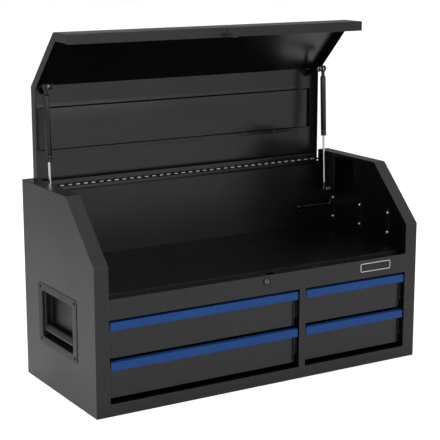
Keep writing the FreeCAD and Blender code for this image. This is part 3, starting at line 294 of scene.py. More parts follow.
@dataclass(frozen=True)
class Finish:
    """A finish: its colours, its gloss, how it is rubbed, and on coats a painted highlight along
    the edges.
    """

    name: str
    colour: str
    second: str
    roughness: float
    metallic: float = 0.0
    specular: float = 0.5

    def _start(self) -> tuple[bpy.types.Material, Node]:
        """Makes the material with its shader's plain values set.

        Returns:
            The material and its shader.
        """
        material = bpy.data.materials.new(self.name)
        material.use_nodes = True
        shader = material.node_tree.nodes["Principled BSDF"]
        shader.inputs["Metallic"].default_value = self.metallic
        shader.inputs["Specular IOR Level"].default_value = self.specular
        material.diffuse_color = srgb(self.colour)
        return material, shader

    @staticmethod
    def _effect(tree: Tree, which: Group, **values: float) -> dict[str, Socket]:
        """Places a shared effect with its own values.

        Args:
            tree: the material's tree.
            which: the effect.
            values: its inputs, with _ for a space.

        Returns:
            The effect's outputs by name.
        """
        placed = node(tree, "Group", node_tree=GROUPS.get(which))
        for name, value in values.items():
            placed.inputs[name.replace("_", " ")].default_value = value
        return {socket.name: socket for socket in placed.outputs}

    @staticmethod
    def _mix(tree: Tree, mask: Socket, low: Socket | str, high: str) -> Socket:
        """Mixes two colours by a mask.

        Args:
            tree: the material's tree.
            mask: 0 for the low colour, 1 for the high one.
            low: a colour code or a socket.
            high: a colour code.

        Returns:
            The mixed colour.
        """
        first = srgb(low) if isinstance(low, str) else low
        return node(tree, "Mix", {0: mask, 6: first, 7: srgb(high)},
                    data_type="RGBA").outputs[2]

    def _roughen(self, tree: Tree, shader: Node, mask: Socket, spread: float) -> None:
        """Lets the roughness rise with a mask.

        Args:
            tree: the material's tree.
            shader: its shader.
            mask: 0 where the finish is smoothest.
            spread: how much rougher it is where the mask is 1.
        """
        feed(tree, shader.inputs["Roughness"], remap(
            tree, mask, given=(self.roughness, self.roughness + spread)))

    @staticmethod
    def _bump(tree: Tree, shader: Node, height: Socket, strength: float, depth: float,
              base: Socket | None = None) -> None:
        """Feeds a height to the shader's normal.

        Args:
            tree: the material's tree.
            shader: the shader.
            height: the height.
            strength: the bump's strength.
            depth: its depth in metres.
            base: the normal that the height starts from, where it isn't the mesh's own.
        """
        inputs = {"Strength": strength, "Distance": depth, "Height": height}
        if base is not None:
            inputs["Normal"] = base
        feed(tree, shader.inputs["Normal"], node(tree, "Bump", inputs).outputs["Normal"])

    def make(self) -> bpy.types.Material:
        """Builds the material; each kind of finish has its own way."""
        raise NotImplementedError


@dataclass(frozen=True)
class PowderCoat(Finish):
    """Baked powder coat: a pebbled skin, faint clouding, and lighter edges that are partly rubbed
    paint and partly painted highlight.
    """

    peel: float = 0.06
    peel_depth: float = 0.0002
    # The lighter edge colour: partly rubbed paint, partly painted highlight.
    edge: str = "6a6b6d"
    edge_width: float = 0.0007

    def make(self) -> bpy.types.Material:
        """Builds the coat.

        Returns:
            The material.
        """
        material, shader = self._start()
        tree = material.node_tree
        skin = self._effect(tree, Group.ORANGE_PEEL, Scale=1100.0, Cloud_Scale=7.0)
        marks = self._effect(tree, Group.HANDLING, Patch_Scale=6.0)
        # Lightens the coat's edges: partly rubbed paint, partly painted highlight.
        rub_and_highlight = self._effect(tree, Group.EDGE_RUB_AND_HIGHLIGHT, Width=self.edge_width, Break_Scale=90.0)
        body = self._mix(tree, skin["Cloud"], self.colour, self.second)
        feed(tree, shader.inputs["Base Color"], self._mix(tree, rub_and_highlight["Edge"], body, self.edge))
        self._roughen(tree, shader, marks["Patch"], spread=0.08)
        self._bump(tree, shader, skin["Height"], self.peel, self.peel_depth, rub_and_highlight["Normal"])
        return material


@dataclass(frozen=True)
class BrightMetal(Finish):
    """Plated or drawn metal: long fine lines and a slow change of tone."""

    metallic: float = 1.0
    grain: float = 0.08
    grain_depth: float = 0.0001
    stretch: float = 0.03

    def make(self) -> bpy.types.Material:
        """Builds the metal.

        Returns:
            The material.
        """
        material, shader = self._start()
        tree = material.node_tree
        grain = self._effect(tree, Group.ROLLED_GRAIN, Scale=900.0, Stretch=self.stretch)
        marks = self._effect(tree, Group.HANDLING, Patch_Scale=30.0)
        tone = self._mix(tree, grain["Tone"], self.colour, self.second)
        feed(tree, shader.inputs["Base Color"], tone)
        self._roughen(tree, shader, marks["Patch"], spread=0.1)
        self._bump(tree, shader, grain["Height"], self.grain, self.grain_depth)
        return material


@dataclass(frozen=True)
class Moulded(Finish):
    """Moulded plastic or rubber: a soft grain, and lighter edges that are partly rubbed and
    partly painted highlight.
    """

    grain: float = 0.2
    grain_depth: float = 0.0003
    # The lighter edge colour: partly rubbed paint, partly painted highlight.
    edge: str = "5a5a5b"
    edge_width: float = 0.0006

    def make(self) -> bpy.types.Material:
        """Builds the plastic.

        Returns:
            The material.
        """
        material, shader = self._start()
        tree = material.node_tree
        skin = self._effect(tree, Group.ORANGE_PEEL, Scale=1500.0, Cloud_Scale=30.0)
        # Lightens the plastic's edges: partly rubbed, partly painted highlight.
        rub_and_highlight = self._effect(tree, Group.EDGE_RUB_AND_HIGHLIGHT, Width=self.edge_width, Break_Scale=200.0)
        body = self._mix(tree, skin["Cloud"], self.colour, self.second)
        feed(tree, shader.inputs["Base Color"], self._mix(tree, rub_and_highlight["Edge"], body, self.edge))
        self._roughen(tree, shader, skin["Cloud"], spread=0.1)
        self._bump(tree, shader, skin["Height"], self.grain, self.grain_depth)
        return material


CHARCOAL = PowderCoat("charcoal_powder_coat", "080808", "0c0c0c", 0.25, specular=0.45)
LID_COAT = PowderCoat("lid_powder_coat", "080808", "0c0c0c", 0.23, specular=0.45)
# A darker, less glossy copy of the charcoal coat for the till floor: painted shade, where the
# till's walls shade it.
TILL_SHADED_COAT = PowderCoat("till_painted_shade_coat", "030303", "050505", 0.34, specular=0.29)
# A darker copy of the charcoal coat for the back panel, the till's back wall: painted shade.
BACK_SHADED_COAT = PowderCoat("back_painted_shade_coat", "040404", "070707", 0.32, specular=0.44)
FACE_COAT = PowderCoat("drawer_powder_coat", "080808", "0c0c0c", 0.25, specular=0.46)
BLUE_COAT = PowderCoat("blue_satin_coat", "19488a", "1d4d90", 0.38, specular=0.2, peel=0.05,
                       edge="4677bb")
# A darker copy of the black coat for the lid's inboard stud arms: painted shade where they hang
# under the lid's side; the handles' rivets take it too.
SHADE_COAT = PowderCoat("inner_bracket_painted_shade", "040404", "060606", 0.4, specular=0.2,
                        edge="1c1c1c")
DARK_COAT = PowderCoat("bracket_dark_coat", "0a0a0b", "0e0e0e", 0.36, specular=0.4,
                       edge="3c3c3d")
STRUT_GLOSS = PowderCoat("strut_gloss_black", "08080a", "0b0b0c", 0.22, specular=0.4,
                         peel=0.03, edge="2a2a2b")
ZINC = BrightMetal("slide_zinc_plate", "9da0a4", "b4b6b8", 0.34)
STEEL = BrightMetal("hinge_rolled_steel", "808285", "9c9ea1", 0.3)
# A darker copy of the hinge steel for the pin: painted shade in the gaps between the knuckles.
SHADED_PIN_STEEL = BrightMetal("hinge_pin_painted_shade_steel", "242526", "303132", 0.4)
CHROME = BrightMetal("polished_steel", "c9ccd0", "dadcde", 0.14, grain=0.02)
TUBE_STEEL = BrightMetal("guard_tube_steel", "606266", "74767a", 0.2)
BRIGHT_SCREW = BrightMetal("bright_screw_head", "e2e3e5", "f0f0f1", 0.22, grain=0.02)
GUNMETAL = BrightMetal("lock_gunmetal", "2c2d2f", "38393b", 0.24, grain=0.03)
PLUG_STEEL = BrightMetal("lock_plug_steel", "5e6063", "6c6e71", 0.2, grain=0.04)
PALE_RIM = Moulded("plate_rim_pale", "dcddde", "e6e6e7", 0.4, grain=0.05, edge="f4f4f4")
BLACK_MOULD = Moulded("handle_moulded_black", "0c0c0d", "101011", 0.36, specular=0.4)
GRIP_MOULD = Moulded("grip_moulded_black", "1b1b1c", "202021", 0.3)

SLOT_FINISH: dict[str, Finish] = {
    "cabinet_charcoal": CHARCOAL,
    "lid_charcoal": LID_COAT,
    "drawer_charcoal": FACE_COAT,
    "pull_blue": BLUE_COAT,
    "slide_zinc": ZINC,
    "hinge_steel": STEEL,
    "bracket_steel": DARK_COAT,
    "strut_body": STRUT_GLOSS,
    "bright_steel": CHROME,
    "lock_chrome": GUNMETAL,
    "handle_black": BLACK_MOULD,
}
# The till floor and the back panel take darker copies of the coat, and the hinge pin a darker
# copy of its steel: painted shade.
NODE_FINISH: dict[str, Finish] = {
    "till_floor": TILL_SHADED_COAT,
    "back_panel": BACK_SHADED_COAT,
    "slide_carriers": DARK_COAT,
    "hinge_pin": SHADED_PIN_STEEL,
}


class FinishBook:
    """Makes each finish's material once and hands it to pieces and CAD nodes."""

    def __init__(self) -> None:
        """Starts with no material made."""
        self.made: dict[str, bpy.types.Material] = {}

    def dress(self, item: bpy.types.Object, finish: Finish) -> None:
        """Puts one finish on the whole of an object, making its material the first time.

        Args:
            item: the object.
            finish: its finish.
        """
        if finish.name not in self.made:
            self.made[finish.name] = finish.make()
        item.data.materials.clear()
        item.data.materials.append(self.made[finish.name])


FINISHES = FinishBook()


# ------------------------------------------------------------------ shapes


class Plane(Enum):
    """Where a flat outline's two directions lie, and which way its depth goes."""

    YZ = (1, 2, 0)
    XZ = (0, 2, 1)
    XY = (0, 1, 2)


def unit(vector: Iterable[float]) -> Array:
    """Scales a vector to a length of 1."""
    given = np.asarray(list(vector), dtype=float)
    return given / np.linalg.norm(given)


def basis(axis: Iterable[float]) -> tuple[Array, Array, Array]:
    """Two directions square to an axis, and the axis, as a right-handed set.

    Args:
        axis: the axis.

    Returns:
        The two directions and the unit axis.
    """
    along = unit(axis)
    helper = np.array([0.0, 0.0, 1.0]) if abs(along[2]) < 0.9 else np.array([1.0, 0.0, 0.0])
    first = unit(np.cross(helper, along))
    return first, np.cross(along, first), along


def lathe(centre: Iterable[float], axis: Iterable[float], profile: Profile,
          sides: int = 32) -> Array:
    """Rings of a turned shape: each (radius, height) goes round the axis as a circle.

    Point (i, j) = centre + height_i axis + radius_i (cos t_j first + sin t_j second).

    Args:
        centre: where height is 0.
        axis: the axis.
        profile: radius and height of each ring.
        sides: points round each ring.

    Returns:
        The rings, rows by places by three.
    """
    first, second, along = basis(axis)
    turn = np.linspace(0.0, TAU, sides, endpoint=False)
    round_it = np.cos(turn)[:, None] * first + np.sin(turn)[:, None] * second
    sizes = np.asarray(profile, dtype=float)
    return (np.asarray(list(centre)) + sizes[:, 1, None, None] * along
            + sizes[:, 0, None, None] * round_it[None])


def outward(rings: Array, wrap: bool = False) -> Array:
    """Turns rings the right way out, so that their surface has a positive volume.

    The volume has the sign of the sum, over the quads, of place . (across x down).

    Args:
        rings: the rings.
        wrap: whether the last row joins the first.

    Returns:
        The rings, their places reversed where the sum is negative.
    """
    closed = np.concatenate([rings, rings[:1]]) if wrap else rings
    place = closed[:-1] - rings.reshape(-1, 3).mean(axis=0)
    across = (np.roll(closed, -1, axis=1) - closed)[:-1]
    flow = np.cross(across, closed[1:] - closed[:-1])
    return rings if float((flow * place).sum()) > 0 else rings[:, ::-1]


def lay(outline: Array, plane: Plane, depth: float) -> Array:
    """Puts a flat outline into space at a depth.

    Args:
        outline: places by two.
        plane: where it lies.
        depth: its place along the third direction.

    Returns:
        Places by three.
    """
    across, up, deep = plane.value
    points = np.empty((len(outline), 3))
    points[:, across] = outline[:, 0]
    points[:, up] = outline[:, 1]
    points[:, deep] = depth
    return points


def moved(outline: Array, across: float, up: float) -> Array:
    """Shifts a flat outline."""
    return outline + np.array([across, up])


def shrink(outline: Array, by: float) -> Array:
    """Draws an outline in towards its middle by the same distance on every side.

    Each point moves to middle + (point - middle) * (half size - distance) / half size.

    Args:
        outline: places by two.
        by: the distance.

    Returns:
        The smaller outline.
    """
    low, high = outline.min(axis=0), outline.max(axis=0)
    middle, half = (low + high) / 2, (high - low) / 2
    return middle + (outline - middle) * (half - by) / half


def rounded_outline(width: float, height: float, radius: float, steps: int = 6) -> Array:
    """A rectangle with round corners, centred, anticlockwise.

    Each corner is a quarter circle of the radius about a point the radius inside it.

    Args:
        width: across.
        height: up.
        radius: of the corners.
        steps: pieces of each quarter.

    Returns:
        The points, places by two.
    """
    quarter = np.linspace(0.0, TAU / 4, steps + 1)
    parts = []
    for number, (sx, sy) in enumerate(((1, 1), (-1, 1), (-1, -1), (1, -1))):
        turn = quarter + number * TAU / 4
        middle = np.array([sx * (width / 2 - radius), sy * (height / 2 - radius)])
        parts.append(middle + radius * np.stack([np.cos(turn), np.sin(turn)], axis=1))
    return np.concatenate(parts)


def rounded_path(corners: Sequence[Pair], radii: Sequence[float], steps: int = 5) -> Array:
    """An outline whose corners are arcs tangent to both of their edges.

    A corner's arc starts and ends radius * tan(turn / 2) from it, along its two edges.

    Args:
        corners: the sharp corners in order, closed.
        radii: one radius for each corner, 0 for a sharp one.
        steps: pieces of each arc.

    Returns:
        The points, places by two.
    """
    given = np.asarray(corners, dtype=float)
    result: list[Array] = []
    for at, radius in enumerate(radii):
        here, before, after = given[at], given[at - 1], given[(at + 1) % len(given)]
        arrive, leave = unit(here - before), unit(after - here)
        cross = arrive[0] * leave[1] - arrive[1] * leave[0]
        turn = math.atan2(cross, float(np.dot(arrive, leave)))
        if radius <= 0.0:
            result.append(here[None])
            continue
        side = math.copysign(1.0, turn)
        start = here - arrive * radius * math.tan(abs(turn) / 2)
        normal = side * np.array([-arrive[1], arrive[0]])
        middle = start + normal * radius
        sweep = np.linspace(0.0, turn, steps + 1)
        first = -normal
        across = np.stack([first[0] * np.cos(sweep) - first[1] * np.sin(sweep),
                           first[0] * np.sin(sweep) + first[1] * np.cos(sweep)], axis=1)
        result.append(middle + radius * across)
    return np.concatenate(result)


def ring_outline(radius: float, places: int, first: float = 0.5) -> Array:
    """A circle about the origin: radius * (cos t, sin t) at even steps of t.

    Args:
        radius: of the circle.
        places: points round it.
        first: the first point's t, in steps.

    Returns:
        The points, places by two.
    """
    turn = (np.arange(places) + first) * TAU / places
    return radius * np.stack([np.cos(turn), np.sin(turn)], axis=1)


def dome_profile(radius: float, height: float, steps: int = 5) -> Array:
    """Radius and height of a low button head: a quarter ellipse from its foot to its crown.

    Radius is R cos t and height is H sin t, from t = 0 to just under a quarter turn.

    Args:
        radius: at the foot.
        height: at the crown.
        steps: pieces of the curve.

    Returns:
        The profile, foot first.
    """
    turn = np.linspace(0.0, TAU / 4 * 0.96, steps + 1)
    return np.stack([radius * np.cos(turn), height * np.sin(turn)], axis=1)


def sphere_profile(radius: float, start: float, stop: float, steps: int = 10) -> Array:
    """Radius and height of a ball cut flat at two heights: radius is sqrt(R^2 - h^2).

    Args:
        radius: of the ball.
        start: the lower cut, from the ball's centre.
        stop: the upper cut.
        steps: pieces of the curve.

    Returns:
        The profile, lower cut first.
    """
    height = np.linspace(start, stop, steps + 1)
    return np.stack([np.sqrt(radius * radius - height * height), height], axis=1)


def spaced(count: int, pitch: float, centred: bool = False) -> Array:
    """Shifts along X, one pitch apart.

    Args:
        count: how many.
        pitch: from one to the next.
        centred: spreads them to both sides of 0, where otherwise they start at 0.

    Returns:
        The shifts, one row of three for each.
    """
    shifts = np.zeros((count, 3))
    shifts[:, 0] = (np.arange(count) - (count - 1) / 2 * centred) * pitch
    return shifts


@dataclass
class Surface:
    """Faces gathered from grids of points in millimetres, made into one mesh at the end.

    Faces are kept in arrays, one row of point numbers for each face.
    """

    points: list[Array] = field(default_factory=list)
    faces: list[Array] = field(default_factory=list)
    count: int = 0

    def grid(self, rings: Array, wrap: bool = False) -> "Surface":
        """Adds the surface through rows of points, each row joined to the next.

        Point (i, j) is row i at place j; a quad joins (i, j), (i, j+1), (i+1, j+1) and
        (i+1, j). Each row is a loop, so its last place joins its first.

        Args:
            rings: the points, rows by places by three.
            wrap: joins the last row to the first, where otherwise both are filled.

        Returns:
            The surface itself.
        """
        rows, places = rings.shape[:2]
        index = self.count + np.arange(rows * places).reshape(rows, places)
        rows_in = np.concatenate([index, index[:1]]) if wrap else index
        across = np.roll(rows_in, -1, axis=1)
        quads = np.stack([rows_in[:-1], across[:-1], across[1:], rows_in[1:]], axis=-1)
        self.faces.append(quads.reshape(-1, 4))
        if not wrap:
            self.faces += [index[:1, ::-1], index[-1:]]
        self.points.append(rings.reshape(-1, 3))
        self.count += rows * places
        return self

    def turned(self, centre: Iterable[float], axis: Iterable[float], profile: Profile,
               sides: int = 32, hollow: bool = False) -> "Surface":
        """Adds a turned shape.

        Args:
            centre: where its height is 0.
            axis: its axis.
            profile: radius and height of each ring.
            sides: points round each ring.
            hollow: whether the profile is closed, as a bored piece's is.

        Returns:
            The surface itself.
        """
        return self.grid(outward(lathe(centre, axis, profile, sides), hollow), hollow)

    def loft(self, levels: Sequence[tuple[Array, float]], plane: Plane,
             hollow: bool = False) -> "Surface":
        """Adds the skin through one outline after another, each at its own depth.

        Args:
            levels: an outline and its depth for each ring, all of the same length.
            plane: where they lie.
            hollow: whether the last outline joins the first.

        Returns:
            The surface itself.
        """
        rings = np.stack([lay(outline, plane, depth) for outline, depth in levels])
        return self.grid(outward(rings, hollow), hollow)

    def slab(self, outline: Array, plane: Plane, start: float, stop: float,
             bevel: float = 0.3) -> "Surface":
        """Adds a plate or bar: an outline carried straight, its two ends bevelled.

        Args:
            outline: places by two.
            plane: where it lies.
            start: depth of one end.
            stop: depth of the other end.
            bevel: size of the bevels.

        Returns:
            The surface itself.
        """
        step = math.copysign(bevel, stop - start)
        small = shrink(outline, bevel)
        return self.loft([(small, start), (outline, start + step),
                          (outline, stop - step), (small, stop)], plane)

    def copies(self, piece: "Surface", shifts: Array) -> "Surface":
        """Adds a copy of another surface at each shift.

        Args:
            piece: the surface that is repeated.
            shifts: one row of three for each copy.

        Returns:
            The surface itself.
        """
        base = np.concatenate(piece.points)
        for shift in shifts:
            self.faces += [faces + self.count for faces in piece.faces]
            self.points.append(base + shift)
            self.count += len(base)
        return self

    def put(self, name: str, body: str, slot: str, finish: Finish,
            replaces: Sequence[str] = (), crease: float = 35.0) -> None:
        """Makes the object, dresses it and ties it to its body.

        Args:
            name: the object's name.
            body: the body that it rides on.
            slot: the record's material slot; not used.
            finish: its finish.
            replaces: CAD nodes that it stands for.
            crease: faces that meet at more than this angle, in degrees, keep an edge.
        """
        faces = [face for block in self.faces for face in block.tolist()]
        mesh = bpy.data.meshes.new(name)
        mesh.from_pydata(np.concatenate(self.points) * MM, [], faces)
        mesh.validate()
        mesh.polygons.foreach_set("use_smooth", np.ones(len(mesh.polygons), dtype=bool))
        mesh.set_sharp_from_angle(angle=math.radians(crease))
        item = bpy.data.objects.new(name, mesh)
        bpy.context.scene.collection.objects.link(item)
        FINISHES.dress(item, finish)
        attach(item, body)
        if replaces:
            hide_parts(*replaces)
        log.info("%s: %d faces on %s", name, len(faces), body)


# ------------------------------------------------------------------ hinge


@dataclass
class PianoHinge:
    """The piano hinge: rolled bright knuckles, two coated leaves and the lid's return."""

    axis_y: float = 190.6
    axis_z: float = 467.0
    first_cabinet: float = -403.0
    first_lid: float = -381.5
    pitch: float = 43.0
    pairs: int = 19
    knuckle_length: float = 10.5
    knuckle_bevel: float = 0.35
    radius: float = 3.0
    roll_end: float = 305.0
    leaf_thickness: float = 1.1
    leaf_width: float = 14.5
    leaf_notch: float = 3.6
    leaf_corner: float = 0.8
    leaf_bevel: float = 0.25
    half_length: float = 403.0
    end_knuckle: Pair = (403.4, 417.0)
    return_y: Pair = (194.2, 195.4)
    return_z: Pair = (465.1, 481.0)
    return_foot: float = 9.0
    return_half: float = 416.6
    return_bends: tuple[float, ...] = (1.6, 0.3, 0.3, 0.6, 0.5, 0.5)

    def _curl(self) -> Array:
        """The rolled end of a leaf, seen along the hinge.

        A circle about the axis runs from the leaf's back round to the leaf's front,
        and two straight edges close it to the leaf, which lies on the +first side.

        Returns:
            Distance behind the axis and distance away from the leaf, places by two.
        """
        turn = np.radians(np.linspace(0.0, self.roll_end, 17))
        arc = self.radius * np.stack([np.cos(turn), np.sin(turn)], axis=1)
        foot = np.array([[self.radius - self.leaf_thickness, -self.leaf_notch],
                         [self.radius, -self.leaf_notch]])
        return np.concatenate([arc, foot])

    def _knuckles(self, outline: Array, first: float, body: str) -> None:
        """Puts a row of knuckles on a body, each the same curl between its own two ends.

        Args:
            outline: the curl, in its place along Y and Z.
            first: where the first knuckle starts.
            body: the body that the row rides on, whose leaf it stands for.
        """
        single = Surface().slab(outline, Plane.YZ, first, first + self.knuckle_length,
                                self.knuckle_bevel)
        Surface().copies(single, spaced(self.pairs, self.pitch)).put(
            f"hinge_{body}_knuckles", body, "hinge_steel", STEEL, (f"hinge_{body}_leaf",),
            crease=40.0)

    def build(self) -> None:
        """Makes both rows of knuckles, both leaves, the end curls and the lid's return."""
        curl = self._curl()
        cabinet = moved(curl, self.axis_y, self.axis_z)
        lid = np.stack([self.axis_y - curl[:, 1], self.axis_z - curl[:, 0]], axis=1)
        self._knuckles(cabinet, self.first_cabinet, "cabinet")
        self._knuckles(lid, self.first_lid, "lid")
        wide = self.leaf_width - self.leaf_notch
        middle = (self.leaf_width + self.leaf_notch) / 2
        start, stop = self.end_knuckle
        leaf, long_leaf = (rounded_outline(2 * half, wide, self.leaf_corner, 2)
                           for half in (self.half_length, stop))
        back = self.axis_y + self.radius
        plate = Surface().slab(moved(long_leaf, 0.0, self.axis_z - middle), Plane.XZ,
                               back - self.leaf_thickness, back, self.leaf_bevel)
        for sign in (-1.0, 1.0):
            plate.slab(cabinet, Plane.YZ, sign * start, sign * stop, self.knuckle_bevel)
        plate.put("hinge_cabinet_plate", "cabinet", "hinge_steel", DARK_COAT, crease=40.0)
        under = self.axis_z - self.radius
        Surface().slab(moved(leaf, 0.0, self.axis_y + middle), Plane.XY,
                       under, under + self.leaf_thickness, self.leaf_bevel).put(
            "hinge_lid_plate", "lid", "hinge_steel", DARK_COAT)
        self._return()

    def _return(self) -> None:
        """Turns up the lid's folded return behind the knuckles: a foot, a bend and a hem.

        Its outline is carried straight along the hinge, with an arc at the bend.
        """
        (fore, rear), (low, high) = self.return_y, self.return_z
        skin, toe = rear - fore, rear + self.return_foot
        corners = [(fore, low), (toe, low), (toe, low + skin), (rear, low + skin),
                   (rear, high), (fore, high)]
        outline = rounded_path(corners, self.return_bends, 4)
        Surface().slab(outline, Plane.YZ, -self.return_half, self.return_half).put(
            "lid_hinge_return", "lid", "lid_charcoal", LID_COAT)


# ------------------------------------------------------------------ lid


@dataclass
class LidStiffener:
    """The pressed stiffener inside the lid: rounded edges, tapered ends, spot-weld dimples."""

    half: float = 406.0
    taper: float = 22.0
    taper_steps: int = 9
    base: float = 214.9
    height: float = 10.0
    skin: float = 1.0
    flanges: Pair = (544.3, 670.5)
    walls: Pair = (555.3, 659.5)
    edge: float = 2.6
    weld_pitch: float = 96.0
    weld_radius: float = 3.2
    weld_height: float = 0.35

    def _outline(self, height: float) -> Array:
        """The section across the stiffener: flange, wall, face, wall, flange and flat back.

        Args:
            height: how far the face stands off here.

        Returns:
            Place along Y and along Z, places by two.
        """
        (low, high), (under, over) = self.flanges, self.walls
        flange, face = self.base - self.skin, self.base - height
        corners = [(self.base, low), (flange, low), (flange, under), (face, under),
                   (face, over), (flange, over), (flange, high), (self.base, high)]
        bend = min(self.edge, (height - self.skin) * 0.45)
        return rounded_path(corners, [0.2, 0.4, bend, bend, bend, bend, 0.4, 0.2], 5)

    def _pressing(self) -> Surface:
        """Lofts the section along the lid; its height eases in and out at the ends.

        The height is skin + (height - skin) (3 t^2 - 2 t^3), t running 0 to 1 over the taper.

        Returns:
            The pressing's surface.
        """
        rise = np.linspace(0.02, 1.0, self.taper_steps)
        heights = self.skin + (self.height - self.skin) * (3 * rise ** 2 - 2 * rise ** 3)
        places = -self.half + self.taper * np.linspace(0.0, 1.0, self.taper_steps)
        levels = [(self._outline(float(tall)), float(at)) for tall, at in zip(heights, places)]
        levels += [(outline, -at) for outline, at in levels[::-1]]
        return Surface().loft(levels, Plane.YZ)

    def build(self) -> None:
        """Makes the pressing, with a row of spot welds along each of its flanges."""
        stiffener = self._pressing()
        radius, height = self.weld_radius, self.weld_height
        dimple = [(radius, 0.0), (radius * 0.85, height), (radius * 0.6, height),
                  (radius * 0.35, height * 0.2)]
        count = int(2 * (self.half - self.taper) / self.weld_pitch) + 1
        for outer, inner in zip(self.flanges, self.walls):
            middle = (0.0, self.base - self.skin, (outer + inner) / 2)
            stiffener.copies(Surface().turned(middle, FORWARD, dimple, 14),
                             spaced(count, self.weld_pitch, centred=True))
        stiffener.put("pressed_lid_stiffener", "lid", "lid_charcoal", LID_COAT,
                      ("lid_stiffener",), crease=30.0)


@dataclass
class LidBracket:
    """The folded arm that carries a strut's upper ball stud, with the stud's nut."""

    side: str
    sign: float
    plate_x: float = 393.5
    foot_x: float = 382.5
    sheet: float = 1.5
    ball: Pair = (156.0, 719.0)
    reach: float = 8.0
    root: float = 214.9
    root_top: float = 710.8
    root_height: float = 18.0
    arm_corners: tuple[float, ...] = (5.6, 9.0, 0.4, 0.4, 5.6)
    foot_corner: float = 2.0
    weld_radius: float = 2.4
    weld_height: float = 1.0
    weld_offset: Pair = (1.0, 5.0)
    nut_radius: float = 5.2
    nut_height: float = 4.4
    thread_radius: float = 2.4
    thread_proud: float = 2.0

    def build(self) -> None:
        """Makes the arm, the foot welded to the lid and the nut on the stud's end."""
        arm = self._arm()
        self._foot(arm)
        # The arm takes the darker inner-bracket coat: painted shade.
        arm.put(f"{self.side}_stud_arm", "lid", "bracket_steel", SHADE_COAT,
                (f"{self.side}_lid_bracket",), crease=32.0)
        self._nut()

    def _arm(self) -> Surface:
        """Cuts the arm: five corners, each an arc tangent to its edges.

        Returns:
            The arm's surface.
        """
        ball_y, ball_z = self.ball
        reach = self.reach
        corners = [(ball_y - reach, ball_z - reach), (ball_y + reach, ball_z - reach),
                   (self.root, self.root_top - self.root_height), (self.root, self.root_top),
                   (ball_y - reach, ball_z + reach)]
        outline = rounded_path(corners, self.arm_corners, 5)
        return Surface().slab(outline, Plane.YZ, self.sign * self.plate_x,
                              self.sign * (self.plate_x - self.sheet))

    def _foot(self, arm: Surface) -> None:
        """Adds the foot, a rounded rectangle against the lid, and its two welds.

        Args:
            arm: gathers them.
        """
        across = self.sign * (self.plate_x + self.foot_x) / 2
        level = self.root_top - self.root_height / 2
        foot = rounded_outline(self.plate_x - self.foot_x, self.root_height,
                               self.foot_corner, 4)
        arm.slab(moved(foot, across, level), Plane.XZ, self.root, self.root - self.sheet)
        dome = dome_profile(self.weld_radius, self.weld_height)
        inward, up = self.weld_offset
        for way in (-1.0, 1.0):
            place = (across - self.sign * inward, self.root - self.sheet, level + way * up)
            arm.turned(place, FORWARD, dome, 14)

    def _nut(self) -> None:
        """Turns the nut with six sides, and the end of the stud's thread standing from it."""
        radius, height, thread = self.nut_radius, self.nut_height, self.thread_radius
        top = height + self.thread_proud
        profile = [(radius - 0.5, 0.0), (radius, 0.4), (radius, height - 0.9),
                   (radius - 0.9, height), (thread + 0.2, height), (thread, height - 0.4),
                   (thread, top - 0.6), (thread - 0.6, top)]
        face = (self.sign * (self.plate_x - self.sheet), *self.ball)
        Surface().turned(face, (-self.sign, 0.0, 0.0), profile, 6).put(
            f"{self.side}_stud_nut", "lid", "bright_steel", BRIGHT_SCREW, crease=30.0)


# ------------------------------------------------------------------ drawers


@dataclass
class DrawerPull:
    """One full-width finger pull, a folded channel with soft corners, and the face's ends."""

    drawer: str
    left: float
    right: float
    top: float
    front: float = -194.5
    face: float = -181.0
    wall: float = 1.8
    sheet: float = 0.9
    height: float = 20.0
    clip: float = 8.0
    nose: float = 2.4
    hem: float = 0.85
    face_height: float = 88.4
    face_gap: float = 7.0
    return_gaps: Pair = (2.6, 0.3)
    return_width: float = 4.2
    return_turn: float = 1.4
    return_ends: Pair = (1.0, 0.4)
    return_corners: tuple[float, ...] = (0.2, 0.8, 0.2, 0.2, 0.3, 0.2)

    def build(self) -> None:
        """Makes the pull, and the folded return at each end of the drawer's face."""
        self._channel()
        self._returns()

    def _returns(self) -> None:
        """Stands a narrow folded strip beside each end of the face, over the slide's end.

        Each strip is an L: a front leg beside the face and a leg turned back from it.
        """
        under, over = self.return_ends
        low, high = self.top - self.face_height + under, self.top - self.height - over
        right_gap, left_gap = self.return_gaps
        front = self.face - 0.1
        back = front + self.sheet
        strips = Surface()
        for edge, sign, gap in ((self.right - self.face_gap, 1.0, right_gap),
                                (self.left + self.face_gap, -1.0, left_gap)):
            near, far = edge + sign * gap, edge + sign * (gap + self.return_width)
            fold = far - sign * self.sheet
            corners = [(near, front), (far, front), (far, back + self.return_turn),
                       (fold, back + self.return_turn), (fold, back), (near, back)]
            outline = rounded_path(corners, self.return_corners, 3)
            strips.slab(outline, Plane.XY, low, high, 0.2)
        strips.put(f"{self.drawer}_face_returns", self.drawer, "drawer_charcoal", FACE_COAT)

    def _channel(self) -> None:
        """Carries the channel's outline along the drawer, corners rounded by arcs."""
        top, low, wall, hem = self.top, self.top - self.height, self.wall, self.hem
        behind = self.face + self.sheet
        corners = [(self.front, low), (self.front + wall, low), (self.front + wall, top - wall),
                   (self.face - wall, top - wall), (self.face - wall, low), (self.face, low),
                   (self.face, top - wall), (behind, top - wall), (behind, top - self.clip),
                   (behind + wall, top - self.clip), (behind + wall, top), (self.front, top)]
        radii = [hem, hem, 1.0, 1.0, hem, 0.4, 0.0, 0.0, 0.3, 0.6, 1.2, self.nose]
        outline = rounded_path(corners, radii, 4)
        Surface().slab(outline, Plane.YZ, self.left, self.right).put(
            f"{self.drawer}_finger_pull", self.drawer, "pull_blue", BLUE_COAT,
            (f"{self.drawer}_pull",), crease=30.0)


